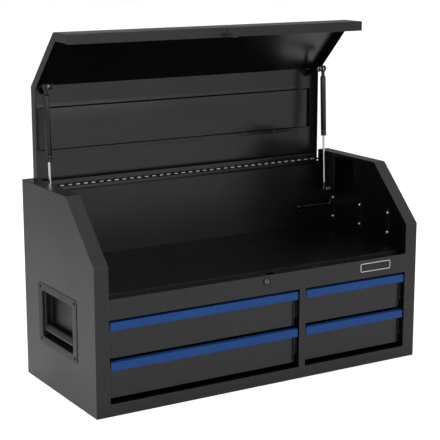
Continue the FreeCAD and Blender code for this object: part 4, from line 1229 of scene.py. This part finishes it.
@dataclass
class DrawerBank:
    """The four drawers' pulls."""

    wide: Pair = (-418.3, 92.1)
    narrow: Pair = (117.7, 418.3)
    upper_top: float = 222.0
    pitch: float = 94.6

    def build(self) -> None:
        """Makes each drawer's pull."""
        for row, top in (("upper", self.upper_top), ("lower", self.upper_top - self.pitch)):
            for column, (left, right) in (("wide", self.wide), ("narrow", self.narrow)):
                DrawerPull(f"{row}_{column}_drawer", left, right, top).build()


@dataclass
class SlideDetails:
    """Rivet heads on the drawers' slide members and pressed beads on the middle members."""

    tray_sides: tuple[tuple[str, Pair], ...] = (("wide", (-411.3, 85.1)),
                                                ("narrow", (124.7, 411.3)))
    rows: tuple[tuple[str, float], ...] = (("upper", 175.6), ("lower", 81.0))
    sheet: float = 1.2
    web_offset: float = 9.7
    rivet_radius: float = 3.4
    rivet_height: float = 1.0
    rivet_y: tuple[float, ...] = (-152.0, -68.0, 16.0, 100.0, 158.0)
    bead: Triple = (64.0, 9.0, 0.9)
    bead_y: tuple[float, ...] = (-118.0, 0.0, 118.0)

    def build(self) -> None:
        """Makes the rivets and beads of each drawer's pair of slides."""
        for row, level in self.rows:
            for column, sides in self.tray_sides:
                rivets, beads = Surface(), Surface()
                for side_x, sign in zip(sides, (-1.0, 1.0)):
                    self._pair(rivets, beads, side_x, sign, level)
                rivets.put(f"{row}_{column}_slide_rivets", f"{row}_{column}_drawer",
                           "slide_zinc", STEEL, crease=50.0)
                beads.put(f"{row}_{column}_slide_beads", f"{row}_{column}_middle_slides",
                          "slide_zinc", ZINC, crease=50.0)

    def _pair(self, rivets: Surface, beads: Surface, side_x: float, sign: float,
              level: float) -> None:
        """Adds the domes and beads of one slide.

        Args:
            rivets: gathers the rivet heads.
            beads: gathers the beads.
            side_x: the tray's side.
            sign: which way the slide lies from it.
            level: the slide's middle height.
        """
        dome = dome_profile(self.rivet_radius, self.rivet_height)
        web = side_x + sign * self.sheet
        for place in self.rivet_y:
            rivets.turned((web, place, level), (sign, 0.0, 0.0), dome, 18)
        long, high, proud = self.bead
        back = side_x + sign * self.web_offset
        for place in self.bead_y:
            outline = moved(rounded_outline(long, high, high / 2 - 0.1), place, level)
            beads.loft([(outline, back), (shrink(outline, 0.5), back + sign * proud * 0.8),
                        (shrink(outline, 1.3), back + sign * proud)], Plane.YZ)


# ------------------------------------------------------------------ gas struts


@dataclass
class GasStrut:
    """One gas strut: crimped cylinder, moulded ball sockets and turned ball studs."""

    side: str
    sign: float
    axis_x: float = 406.0
    lower: Pair = (141.0, 390.0)
    upper: Pair = (156.0, 719.0)
    neck: float = 20.0
    neck_radius: float = 5.6
    rib_ends: tuple[float, ...] = (12.6, 16.0, 19.2)
    cylinder_length: float = 162.0
    cylinder_radius: float = 7.5
    rod_radius: float = 3.0
    rod_play: float = 0.15
    ball_radius: float = 5.0
    ball_cuts: Pair = (-4.0, 3.9)
    ball_play: float = 0.3
    socket_radius: float = 8.0
    socket_half: float = 7.0
    wire_radius: float = 0.55
    stud_radius: float = 3.0
    collar_radius: float = 6.0
    collar_length: float = 3.0
    lower_stud: float = 17.3
    upper_stud: float = 12.2

    @property
    def line(self) -> Array:
        """From the lower ball to the upper ball."""
        (low_y, low_z), (high_y, high_z) = self.lower, self.upper
        return np.array([0.0, high_y - low_y, high_z - low_z])

    @property
    def foot(self) -> Array:
        """The centre of the lower ball."""
        return np.array([self.sign * self.axis_x, *self.lower])

    def build(self) -> Surface:
        """Makes the strut with its upper stud.

        Returns:
            Its lower stud, left for the object that both struts' lower studs share.
        """
        self._cylinder()
        head = self.foot + self.line
        self._socket("lower", self.foot, 1.0, self.sign)
        self._socket("upper", head, -1.0, -self.sign)
        self._stud(head, -self.sign, self.upper_stud).put(
            f"{self.side}_upper_turned_stud", "lid", "bright_steel", CHROME,
            (f"{self.side}_upper_ball_stud",), crease=32.0)
        return self._stud(self.foot, self.sign, self.lower_stud)

    def _cylinder(self) -> None:
        """Turns the pressure tube: rolled-in gland end, two crimp grooves, domed cap end."""
        end = float(np.linalg.norm(self.line)) - self.neck
        start = end - self.cylinder_length
        full, rod = self.cylinder_radius, self.rod_radius + self.rod_play
        gland = [(rod, 0.6), (rod + 1.2, 0.0), (full - 1.9, 0.0), (full - 0.9, 0.3),
                 (full - 0.3, 1.0), (full, 2.2)]
        crimps = [(full, 6.0), (full - 0.7, 7.0), (full - 0.7, 7.8), (full, 8.8),
                  (full, 14.0), (full - 0.5, 14.8), (full - 0.5, 15.4), (full, 16.2)]
        cap = [(full, 3.4), (full - 0.4, 1.8), (full - 1.4, 0.6), (full - 2.8, 0.0), (1.0, 0.0)]
        profile = [(size, start + at) for size, at in gland + crimps]
        profile += [(size, end - at) for size, at in cap]
        Surface().turned(self.foot, self.line, profile, 36).put(
            f"{self.side}_pressure_tube", f"{self.side}_strut_upper", "strut_body",
            STRUT_GLOSS, (f"{self.side}_strut_cylinder",), crease=38.0)

    def _socket(self, which: str, ball: Array, along: float, mouth: float) -> None:
        """Moulds one ball socket: a barrel across the strut, a ribbed neck and a wire clip.

        Args:
            which: lower or upper.
            ball: the centre of its ball.
            along: +1 where the neck points up the strut.
            mouth: which way along X the ball goes in.
        """
        full, half, bore = self.socket_radius, self.socket_half, self.ball_radius + self.ball_play
        into = (mouth, 0.0, 0.0)
        barrel = [(0.8, -half), (full - 2.6, -half), (full - 1.0, -half + 0.7),
                  (full, -half + 2.2), (full, half - 2.4), (full - 0.6, half - 0.8),
                  (full - 1.5, half), (bore + 0.5, half), (bore, half - 0.8), (bore, 2.2),
                  (0.6, 2.0)]
        wide = self.neck_radius
        neck = [(wide, 4.5), (wide, 9.4), (wide - 0.9, 10.4), (wide - 0.9, self.rib_ends[0])]
        for before, end in zip(self.rib_ends, self.rib_ends[1:]):
            neck += [(wide - 1.3, before + 0.4), (wide - 1.3, before + 1.2),
                     (wide - 0.8, before + 1.6), (wide - 0.8, end)]
        neck += [(wide - 1.3, self.neck), (0.8, self.neck)]
        body = f"{self.side}_strut_{which}"
        Surface().turned(ball, into, barrel, 36).turned(ball, along * self.line, neck, 28).put(
            f"{self.side}_{which}_moulded_socket", body, "handle_black", BLACK_MOULD,
            (f"{self.side}_{which}_socket",), crease=32.0)
        wire = moved(ring_outline(self.wire_radius, 8, first=0.0), full - 0.15, half - 3.6)
        Surface().turned(ball, into, wire, 36, hollow=True).put(
            f"{self.side}_{which}_clip_wire", body, "bright_steel", CHROME, crease=60.0)

    def _stud(self, ball: Array, toward: float, length: float) -> Surface:
        """Turns one ball stud: ball, shank with an undercut, and a bevelled hexagon.

        Args:
            ball: the centre of its ball.
            toward: which way along X the shank goes.
            length: from the ball's centre to the shank's end.

        Returns:
            The stud's surface.
        """
        shank, hexagon = self.stud_radius, self.collar_radius
        start = length - self.collar_length
        profile = [*sphere_profile(self.ball_radius, *self.ball_cuts), (shank - 0.3, 4.3),
                   (shank - 0.3, 5.2), (shank, 5.6), (shank, start + 0.5)]
        collar = [(hexagon - 0.7, start), (hexagon, start + 0.5), (hexagon, length - 0.4),
                  (hexagon - 0.5, length)]
        axis = (toward, 0.0, 0.0)
        return Surface().turned(ball, axis, profile, 28).turned(ball, axis, collar, 6)


# ------------------------------------------------------------------ lock


@dataclass
class CamLock:
    """The lock in the top rail: bevelled ring, turning plug with its key slot."""

    height: float = 261.0
    rail_front: float = -195.6
    ring_radius: float = 10.5
    ring_depth: float = 2.5
    barrel_radius: float = 8.0
    barrel_length: float = 14.6
    plug_radius: float = 6.0
    plug_play: float = 0.05
    plug_recess: float = 0.6
    slot_width: float = 2.0
    slot_height: float = 7.0
    slot_corner: float = 0.6
    slot_depth: float = 9.0
    tail_radius: float = 3.5
    tail_end: float = -173.5

    def build(self) -> None:
        """Makes the ring with its barrel, and the plug."""
        self._ring()
        self._plug()

    def _ring(self) -> None:
        """Turns the ring with its stepped bevel, and the barrel behind it, bored through."""
        ring, barrel = self.ring_radius, self.barrel_radius
        bore = self.plug_radius + self.plug_play
        depth, length = self.ring_depth, self.ring_depth + self.barrel_length
        profile = [(bore, 1.2), (bore + 0.35, 0.7), (bore + 1.3, 0.45), (bore + 1.7, 0.1),
                   (bore + 2.4, 0.0), (ring - 1.3, 0.15), (ring - 0.5, 0.6), (ring - 0.1, 1.3),
                   (ring, depth), (barrel, depth), (barrel, length), (bore, length)]
        face = (0.0, self.rail_front - self.ring_depth, self.height)
        Surface().turned(face, (0.0, 1.0, 0.0), profile, 48, hollow=True).put(
            "lock_bevelled_ring", "cabinet", "lock_chrome", GUNMETAL, ("lock_housing",),
            crease=30.0)

    def _plug(self) -> None:
        """Lofts the plug from its tail to its face, and on down into the key slot.

        Every level has as many points as the slot's rounded rectangle.
        """
        front = self.rail_front - self.ring_depth + self.plug_recess
        back = self.rail_front + self.barrel_length
        slot = rounded_outline(self.slot_width, self.slot_height, self.slot_corner, 5)
        wide, tail = (ring_outline(size, len(slot)) for size in (self.plug_radius,
                                                                 self.tail_radius))
        levels = [(shrink(tail, 0.4), self.tail_end), (tail, self.tail_end - 0.4), (tail, back),
                  (wide, back - 0.1), (wide, front + 0.5), (shrink(wide, 0.5), front),
                  (shrink(slot, -0.35), front), (slot, front + 0.3),
                  (slot, front + self.slot_depth)]
        Surface().loft([(moved(line, 0.0, self.height), at) for line, at in levels],
                       Plane.XZ).put(
            "lock_keyed_plug", "lock_barrel", "lock_chrome", PLUG_STEEL, ("lock_plug",),
            crease=30.0)


# ------------------------------------------------------------------ side handles


@dataclass
class SideHandle:
    """One side handle: pressed pan with a rolled edge, swinging grip and rivets."""

    side: str
    sign: float
    wall: float = 457.2
    centre_y: float = 8.5
    centre_z: float = 180.0
    plate: Triple = (216.0, 152.0, 8.0)
    plate_thickness: float = 1.2
    recess: Triple = (172.0, 116.0, 6.0)
    recess_depth: float = 26.0
    mouth_roll: float = 2.4
    floor_roll: float = 3.0
    floor_corner: float = 4.6
    pivot_x: float = 449.7
    pivot_z: float = 229.0
    grip_half: float = 82.8
    grip_bevel: float = 0.9
    arm: float = 8.0
    arm_plate: float = 5.0
    arm_corner: float = 1.4
    arm_wide: float = 7.6
    arm_waist: float = 6.4
    bar: Pair = (137.7, 153.7)
    bar_x: Pair = (440.7, 453.7)
    bar_slant: float = 4.4
    bar_brow: float = 3.6
    bar_corners: tuple[float, ...] = (3.0, 1.5, 1.5, 3.2, 3.0)
    boss_half: float = 4.0
    trunnion: float = 2.5
    trunnion_reach: float = 5.0
    rivet_half: Pair = (94.5, 65.5)
    rivet_radius: float = 4.0
    rivet_height: float = 1.8

    def build(self) -> Surface:
        """Makes the pan and the grip.

        Returns:
            The rivets, left for the object that both handles' rivets share.
        """
        self._pan()
        self._grip()
        return self._rivets()

    def _pan(self) -> None:
        """Draws the pan as one shell of rounded rectangles, from its back to its floor.

        Two rolls of radius R run from t = 0 to a quarter turn. Round the opening the size
        is 2 R (1 - sin t) over the recess's and the depth R (1 - cos t) under the plate's
        face. At the floor it is 2 R (1 - cos t) under, and R (1 - sin t) above the floor.
        """
        wide, high, corner = self.plate
        across, up, inner = self.recess
        thick, deep = self.plate_thickness, self.recess_depth
        mouth, floor = self.mouth_roll, self.floor_roll
        sizes = [(across - 10, up - 10, 3.0, -deep), (across - 2, up - 2, 5.0, 0.8 - deep),
                 (across, up, inner, 3.0 - deep), (across, up, inner, -0.2),
                 (wide - 0.8, high - 0.8, corner, 0.0), (wide, high, corner, 0.3),
                 (wide, high, corner, thick - 0.4), (wide - 0.8, high - 0.8, corner, thick)]
        across, up = across - 2 * thick, up - 2 * thick
        for at in np.linspace(0.0, TAU / 4, 5):
            grown = 2 * mouth * (1 - math.sin(at))
            sizes.append((across + grown, up + grown, inner + 1.4 - mouth * math.sin(at),
                          thick - mouth * (1 - math.cos(at))))
        for at in np.linspace(0.0, TAU / 4, 5):
            drawn = 2 * floor * (1 - math.cos(at))
            sizes.append((across - drawn, up - drawn, self.floor_corner,
                          thick - deep + floor * (1 - math.sin(at))))
        Surface().loft([(moved(rounded_outline(a, b, r), self.centre_y, self.centre_z),
                         self.sign * (self.wall + depth)) for a, b, r, depth in sizes],
                       Plane.YZ).put(
            f"{self.side}_pressed_pan", "cabinet", "handle_black", BLACK_MOULD,
            (f"{self.side}_handle_pan",), crease=34.0)

    def _grip(self) -> None:
        """Joins a hand bar with a slanted face, two tapering arms and their pivot bosses."""
        (low, high), (near, far) = self.bar, self.bar_x
        corners = [(self.sign * x, z) for x, z in (
            (near, low), (far, low), (far, low + self.bar_brow), (far - self.bar_slant, high),
            (near, high))]
        section = rounded_path(corners, self.bar_corners, 4)
        grip = Surface().slab(section, Plane.XZ, self.centre_y - self.grip_half,
                              self.centre_y + self.grip_half, self.grip_bevel)
        for end in (-1.0, 1.0):
            self._arm(grip, end)
        grip.put(f"{self.side}_rounded_grip", f"{self.side}_grip", "handle_black", GRIP_MOULD,
                 (f"{self.side}_handle_grip",), crease=34.0)

    def _arm(self, grip: Surface, end: float) -> None:
        """Adds one arm, narrower between its ends, with its boss and trunnion.

        Args:
            grip: gathers them.
            end: -1 for the front arm, 1 for the back one.
        """
        (low, high), pivot, across = self.bar, self.pivot_z, self.sign * self.pivot_x
        place = self.centre_y + end * (self.grip_half - self.arm_plate / 2)
        heights = ((low + 3.0, self.arm_wide), (high + 4.0, self.arm_wide),
                   (high + 14.0, self.arm_waist), (pivot - 9.0, self.arm_waist),
                   (pivot - 1.0, self.arm_wide))
        grip.loft([(moved(rounded_outline(wide, self.arm_plate, self.arm_corner), across, place),
                    at) for at, wide in heights], Plane.XY)
        radius, half, pin = self.arm / 2, self.boss_half, self.trunnion
        tip = half + self.trunnion_reach
        boss = [(0.6, -half), (radius - 0.5, -half), (radius, 0.6 - half), (radius, half - 0.8),
                (radius - 0.6, half), (pin, half), (pin, tip - 0.4), (pin - 0.4, tip)]
        centre = (across, self.centre_y + end * (self.grip_half - radius), pivot)
        grip.turned(centre, (0.0, end, 0.0), boss, 24)

    def _rivets(self) -> Surface:
        """Domes the four rivet heads on the plate's corners.

        Returns:
            The heads' surface.
        """
        radius = self.rivet_radius
        dome = dome_profile(radius, self.rivet_height)
        head = [(radius, 0.0), (radius * 0.99, 0.3), *dome[1:]]
        face, (out, rise) = self.sign * (self.wall + self.plate_thickness), self.rivet_half
        heads = Surface()
        for across in (-out, out):
            for up in (-rise, rise):
                heads.turned((face, self.centre_y + across, self.centre_z + up),
                             (self.sign, 0.0, 0.0), head, 24)
        return heads


# ------------------------------------------------------------------ till fittings


@dataclass
class TillFittings:
    """The straps, screws and guard tube inside the till, with the tube's two holders."""

    wall: float = 456.2
    back: float = 193.6
    strap_centres: tuple[float, ...] = (-77.4, 44.4, 166.2)
    strap_width: float = 16.0
    strap_span: Pair = (294.4, 369.2)
    strap_corner: float = 4.0
    strap_thickness: float = 1.5
    strap_waist: float = 2.2
    screws: Pair = (305.4, 358.2)
    screw_radius: float = 4.2
    screw_height: float = 2.6
    screw_rings: tuple[float, ...] = (1.0, 1.0, 0.92, 0.8, 0.62, 0.48, 0.3, 0.16, 0.04)
    cross_half: float = 0.45
    cross_depth: float = 0.9
    tube_y: float = 184.1
    tube_z: float = 338.0
    tube_start: float = 346.2
    tube_radius: float = 5.0
    tube_wall: float = 1.6
    holder_play: float = 0.02
    rosette: Triple = (17.0, 28.0, 2.5)
    rosette_rivet: Pair = (2.4, 1.3)
    hub_radius: float = 6.2
    hub_reach: float = 8.0
    saddle_x: Pair = (352.2, 364.2)
    saddle_sheet: float = 2.0
    saddle_wing: float = 15.0
    saddle_corners: tuple[float, ...] = (0.0, 1.0, 0.8, 0.0, 2.4, 0.0)
    saddle_rivet: Pair = (2.6, 1.4)

    def build(self) -> None:
        """Makes the straps, their screws, the tube and its holders."""
        self._straps()
        self._screws()
        self._tube()
        self._rosette()
        self._saddle()

    def _straps(self) -> None:
        """Cuts each strap: full width round its screws, drawn in by a cosine between them.

        Half the width is its full half less waist * (1 + cos) / 2 of the height's place.
        """
        low, high = self.strap_span
        base = rounded_outline(self.strap_width, high - low, self.strap_corner, 5)
        rise = np.linspace(-0.5, 0.5, 13)[1:-1] * (high - low - 2 * self.strap_corner)
        side = self.strap_width / 2 - self.strap_waist * (0.5 + 0.5 * np.cos(
            np.clip(rise / (high - low) * 2.6, -0.5, 0.5) * TAU))
        right = np.stack([side, rise], axis=1)
        upper, lower = np.split(base, 2)
        outline = np.concatenate([upper, -right[::-1] * (1, -1), lower, right])
        straps = Surface()
        for centre in self.strap_centres:
            straps.slab(moved(outline, centre, (low + high) / 2), Plane.YZ, self.wall,
                        self.wall - self.strap_thickness)
        straps.put("waisted_straps", "cabinet", "bracket_steel", DARK_COAT, ("wall_straps",))

    def _screws(self) -> None:
        """Turns the screw heads and presses a cross into each crown.

        Height over the strap is a quarter ellipse of the radius, less a depth wherever
        the smaller of the two distances to the cross's arms is under half an arm's width.
        """
        turn = np.arange(24) * TAU / 24
        out = self.screw_radius * np.array(self.screw_rings)
        crown = self.screw_height * np.sqrt(np.clip(1 - (out / self.screw_radius) ** 2 * 0.9,
                                                    0.0, 1.0))
        crown[0] = 0.0
        across, up = np.cos(turn) * out[:, None], np.sin(turn) * out[:, None]
        arms = np.minimum(np.abs(across), np.abs(up)) < self.cross_half
        pressed = arms & (out[:, None] < 0.55 * self.screw_radius)
        height = crown[:, None] - self.cross_depth * pressed
        face = self.wall - self.strap_thickness
        heads = Surface()
        for centre in self.strap_centres:
            for level in self.screws:
                rings = np.stack([face - height, centre + across, level + up], axis=-1)
                heads.grid(outward(rings))
        heads.put("cross_screws", "cabinet", "bright_steel", BRIGHT_SCREW, ("strap_screws",),
                  crease=50.0)

    def _tube(self) -> None:
        """Turns the guard tube, its free end rolled over a short collar."""
        radius, length = self.tube_radius, self.wall - self.tube_start
        inside = radius - self.tube_wall
        profile = [(inside, 0.4), (inside + 0.8, 0.0), (radius + 0.6, 0.5), (radius + 0.9, 1.6),
                   (radius + 0.6, 2.8), (radius, 3.6), (radius, length), (inside, length)]
        start = (self.tube_start, self.tube_y, self.tube_z)
        Surface().turned(start, X_AXIS, profile, hollow=True).put(
            "rolled_guard_tube", "cabinet", "bright_steel", TUBE_STEEL, ("corner_tube",))

    def _rosette(self) -> None:
        """Presses the tube's holder on the side panel: a long rosette with a turned hub."""
        wide, high, thick = self.rosette
        radius, reach = self.hub_radius, self.hub_reach
        inward = (-1.0, 0.0, 0.0)
        plate = moved(rounded_outline(wide, high, wide / 2 - 0.1), self.tube_y, self.tube_z)
        holder = Surface().slab(plate, Plane.YZ, self.wall, self.wall - thick, 0.6)
        bore, rim = self.tube_radius + self.holder_play, wide / 2
        flare = rim - radius
        profile = [(bore, 0.0), (rim, 0.0), (rim, thick), (radius + 0.4, thick + 0.9),
                   (radius, thick + 1.6), (radius + 0.5 * flare, thick + 2.6),
                   (rim, reach - 1.8), (rim, reach - 0.7), (radius + 0.7 * flare, reach),
                   (bore, reach)]
        holder.turned((self.wall, self.tube_y, self.tube_z), inward, profile, hollow=True)
        for up in (-1.0, 1.0):
            head = (self.wall - thick, self.tube_y, self.tube_z + up * (high / 2 - 3.6))
            holder.turned(head, inward, dome_profile(*self.rosette_rivet), 16)
        holder.put("tube_rosette", "cabinet", "bracket_steel", GUNMETAL, ("wall_flange",))

    def _saddle(self) -> None:
        """Bends the clip on the back panel: a ring round the tube and a foot down the panel."""
        (start, stop), skin = self.saddle_x, self.saddle_sheet
        bore, ring = self.tube_radius + self.holder_play, self.tube_radius + skin
        middle, half = (start + stop) / 2, (stop - start) / 2
        profile = [(bore, -half), (ring - 0.5, -half), (ring, 0.5 - half),
                   (ring, half - 0.5), (ring - 0.5, half), (bore, half)]
        clip = Surface().turned((middle, self.tube_y, self.tube_z), X_AXIS, profile, hollow=True)
        face, floor = self.back - skin, self.tube_z - ring
        toe = floor - self.saddle_wing
        corners = [(self.tube_y, floor), (face, floor), (face, toe), (self.back, toe),
                   (self.back, floor + skin), (self.tube_y, floor + skin)]
        foot = rounded_path(corners, self.saddle_corners, 4)
        clip.slab(foot, Plane.YZ, start, stop, 0.4)
        head = (middle, face, floor - self.saddle_wing / 2 - 1.0)
        clip.turned(head, FORWARD, dome_profile(*self.saddle_rivet), 16)
        clip.put("tube_saddle", "cabinet", "bracket_steel", GUNMETAL, ("tube_clip",))


# ------------------------------------------------------------------ front plate


@dataclass
class FrontPlate:
    """A plain plate with a thin pale rim on the top rail, left bare."""

    centre: Pair = (326.5, 256.0)
    size: Triple = (93.0, 22.0, 4.0)
    rim: float = 1.8
    edge: float = 0.2
    front: float = -195.6
    proud: float = 0.9

    def build(self) -> None:
        """Makes the field and the raised rim round it."""
        wide, high, corner = self.size
        inner = moved(rounded_outline(wide - 2 * self.rim, high - 2 * self.rim,
                                      corner - self.rim), *self.centre)
        outer = moved(rounded_outline(wide, high, corner), *self.centre)
        Surface().slab(inner, Plane.XZ, self.front, self.front - self.proud * 0.6, 0.1).put(
            "bare_plate_field", "cabinet", "cabinet_charcoal", STRUT_GLOSS)
        face, edge = self.front - self.proud, self.edge
        Surface().loft([(outer, self.front), (outer, face + edge), (shrink(outer, edge), face),
                        (shrink(inner, -edge), face), (inner, face + edge),
                        (inner, self.front)], Plane.XZ, hollow=True).put(
            "bare_plate_rim", "cabinet", "bright_steel", PALE_RIM)


# ------------------------------------------------------------------ studio


@dataclass
class Lamp:
    """One soft area lamp."""

    name: str
    place: Triple
    aim: Triple
    size: Pair
    power: float

    def hang(self) -> None:
        """Hangs the lamp, turned to its aim."""
        data = bpy.data.lights.new(self.name, "AREA")
        data.shape = "RECTANGLE"
        data.size, data.size_y = self.size
        data.energy = self.power
        item = bpy.data.objects.new(self.name, data)
        item.location = self.place
        aim = Vector(self.aim) - Vector(self.place)
        item.rotation_euler = aim.to_track_quat("-Z", "Y").to_euler()
        bpy.context.scene.collection.objects.link(item)


@dataclass
class Studio:
    """The pale floor, the soft lamps, the world and the camera."""

    camera_place: Triple = (-1.6918, -2.7706, 1.0855)
    yaw: float = 31.21
    pitch: float = 12.34
    lens: float = 108.70
    sensor: float = 36.0
    floor_reach: float = 14.0
    floor_colour: str = "f4f4f4"
    floor_roughness: float = 0.9
    floor_specular: float = 0.1
    floor_glow: float = 0.68
    floor_mirror: Pair = (0.36, 0.08)
    floor_fade: Pair = (0.2, 2.0)
    world_level: float = 1.0
    world_fill: float = 0.42
    world_mirror: Pair = (0.95, 0.25)
    world_fade: Pair = (-0.1, 0.6)
    lamps: tuple[Lamp, ...] = (
        Lamp("key_left", (-3.2, -1.2, 2.2), (-0.2, 0.0, 0.35), (1.8, 2.2), 26.0),
        Lamp("front_fill", (0.6, -3.6, 1.6), (0.0, 0.0, 0.3), (2.4, 1.6), 24.0),
        Lamp("top_soft", (0.0, 0.6, 3.4), (0.0, 0.0, 0.4), (2.4, 1.6), 26.0),
    )

    def build(self) -> None:
        """Makes the whole studio."""
        self._floor()
        self._world()
        for lamp in self.lamps:
            lamp.hang()
        self._camera()

    def _floor(self) -> None:
        """A plain pale sheet that keeps the soft shadow of the chest."""
        mesh = bpy.data.meshes.new("floor")
        corners = [(x * self.floor_reach, y * self.floor_reach, 0.0)
                   for x, y in ((-1, -1), (1, -1), (1, 1), (-1, 1))]
        mesh.from_pydata(corners, [], [(0, 1, 2, 3)])
        floor = bpy.data.objects.new("floor", mesh)
        bpy.context.scene.collection.objects.link(floor)
        material = bpy.data.materials.new("pale_floor")
        material.use_nodes = True
        tree = material.node_tree
        shader = tree.nodes["Principled BSDF"]
        mirrored = self._fade(tree, "Object", self.floor_fade, self.floor_mirror)
        for name, value in (("Base Color", srgb(self.floor_colour)),
                            ("Roughness", self.floor_roughness),
                            ("Specular IOR Level", self.floor_specular),
                            ("Emission Color", WHITE),
                            ("Emission Strength", self._seen(tree, self.floor_glow, mirrored))):
            feed(tree, shader.inputs[name], value)
        floor.data.materials.append(material)

    def _world(self) -> None:
        """A white surround, dimmer to the gloss towards the back, and a softer fill."""
        world = bpy.data.worlds.new("studio")
        bpy.context.scene.world = world
        world.use_nodes = True
        tree = world.node_tree
        back = tree.nodes["Background"]
        mirrored = self._fade(tree, "Generated", self.world_fade, self.world_mirror)
        feed(tree, back.inputs["Color"], WHITE)
        feed(tree, back.inputs["Strength"],
             self._seen(tree, self.world_level, mirrored, self.world_fill))

    @staticmethod
    def _seen(tree: Tree, straight: float, mirrored: Socket, base: float = 0.0) -> Socket:
        """How bright something is for the camera, for gloss and clear pieces, and otherwise.

        Args:
            tree: the material's or the world's tree.
            straight: the value for the camera.
            mirrored: the value for glossy and transmitted rays.
            base: the value for all other rays.

        Returns:
            The value.
        """
        path = node(tree, "LightPath").outputs
        mixed: Socket | float = base
        for ray, value in (("Is Glossy Ray", mirrored), ("Is Transmission Ray", mirrored),
                           ("Is Camera Ray", straight)):
            mixed = node(tree, "Mix", {0: path[ray], 2: mixed, 3: value}).outputs[0]
        return mixed

    @staticmethod
    def _fade(tree: Tree, which: str, span: Pair, values: Pair) -> Socket:
        """Fades a value from front to back.

        Args:
            tree: the material's or the world's tree.
            which: which coordinates of the surface or the surround are read.
            span: the two places along Y between which it fades.
            values: the value at each.

        Returns:
            The faded value.
        """
        ahead = node(tree, "SeparateXYZ", {"Vector": coordinates(tree, which)}).outputs["Y"]
        return remap(tree, ahead, span, values)

    def _camera(self) -> None:
        """Stands the camera at its measured place and angle."""
        data = bpy.data.cameras.new("camera")
        data.sensor_fit = "HORIZONTAL"
        data.sensor_width = self.sensor
        data.lens = self.lens
        item = bpy.data.objects.new("camera", data)
        item.location = self.camera_place
        item.rotation_euler = (math.radians(90.0 - self.pitch), 0.0, math.radians(-self.yaw))
        bpy.context.scene.collection.objects.link(item)
        bpy.context.scene.camera = item


# ------------------------------------------------------------------ main


def dress_nodes(frame: dict[str, Any]) -> None:
    """Gives every carried-over CAD node its finish.
    """
    slots = {entry["node"]: entry["material_slot"] for entry in frame["record"]["subparts"]}
    for name, item in frame["nodes"].items():
        FINISHES.dress(item, NODE_FINISH.get(name, SLOT_FINISH[slots[name]]))


def build_chest() -> None:
    """Builds every finer piece, sub-assembly by sub-assembly."""
    PianoHinge().build()
    LidStiffener().build()
    DrawerBank().build()
    SlideDetails().build()
    lower_studs, rivets = Surface(), Surface()
    in_place = np.zeros((1, 3))
    for side, sign in SIDES:
        lower_studs.copies(GasStrut(side, sign).build(), in_place)
        rivets.copies(SideHandle(side, sign).build(), in_place)
        LidBracket(side, sign).build()
    lower_studs.put("lower_turned_studs", "cabinet", "bright_steel", STEEL,
                    ("lower_ball_studs",), crease=32.0)
    rivets.put("domed_rivets", "cabinet", "bright_steel", SHADE_COAT, ("handle_rivets",),
               crease=50.0)
    CamLock().build()
    TillFittings().build()
    FrontPlate().build()


def main() -> None:
    """Builds the studio and every dressed piece."""
    logging.basicConfig(level=logging.INFO, format="%(message)s")
    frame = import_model()
    bpy.context.scene.view_settings.view_transform = "Standard"
    Studio().build()
    dress_nodes(frame)
    build_chest()


if __name__ == "__main__":
    main()
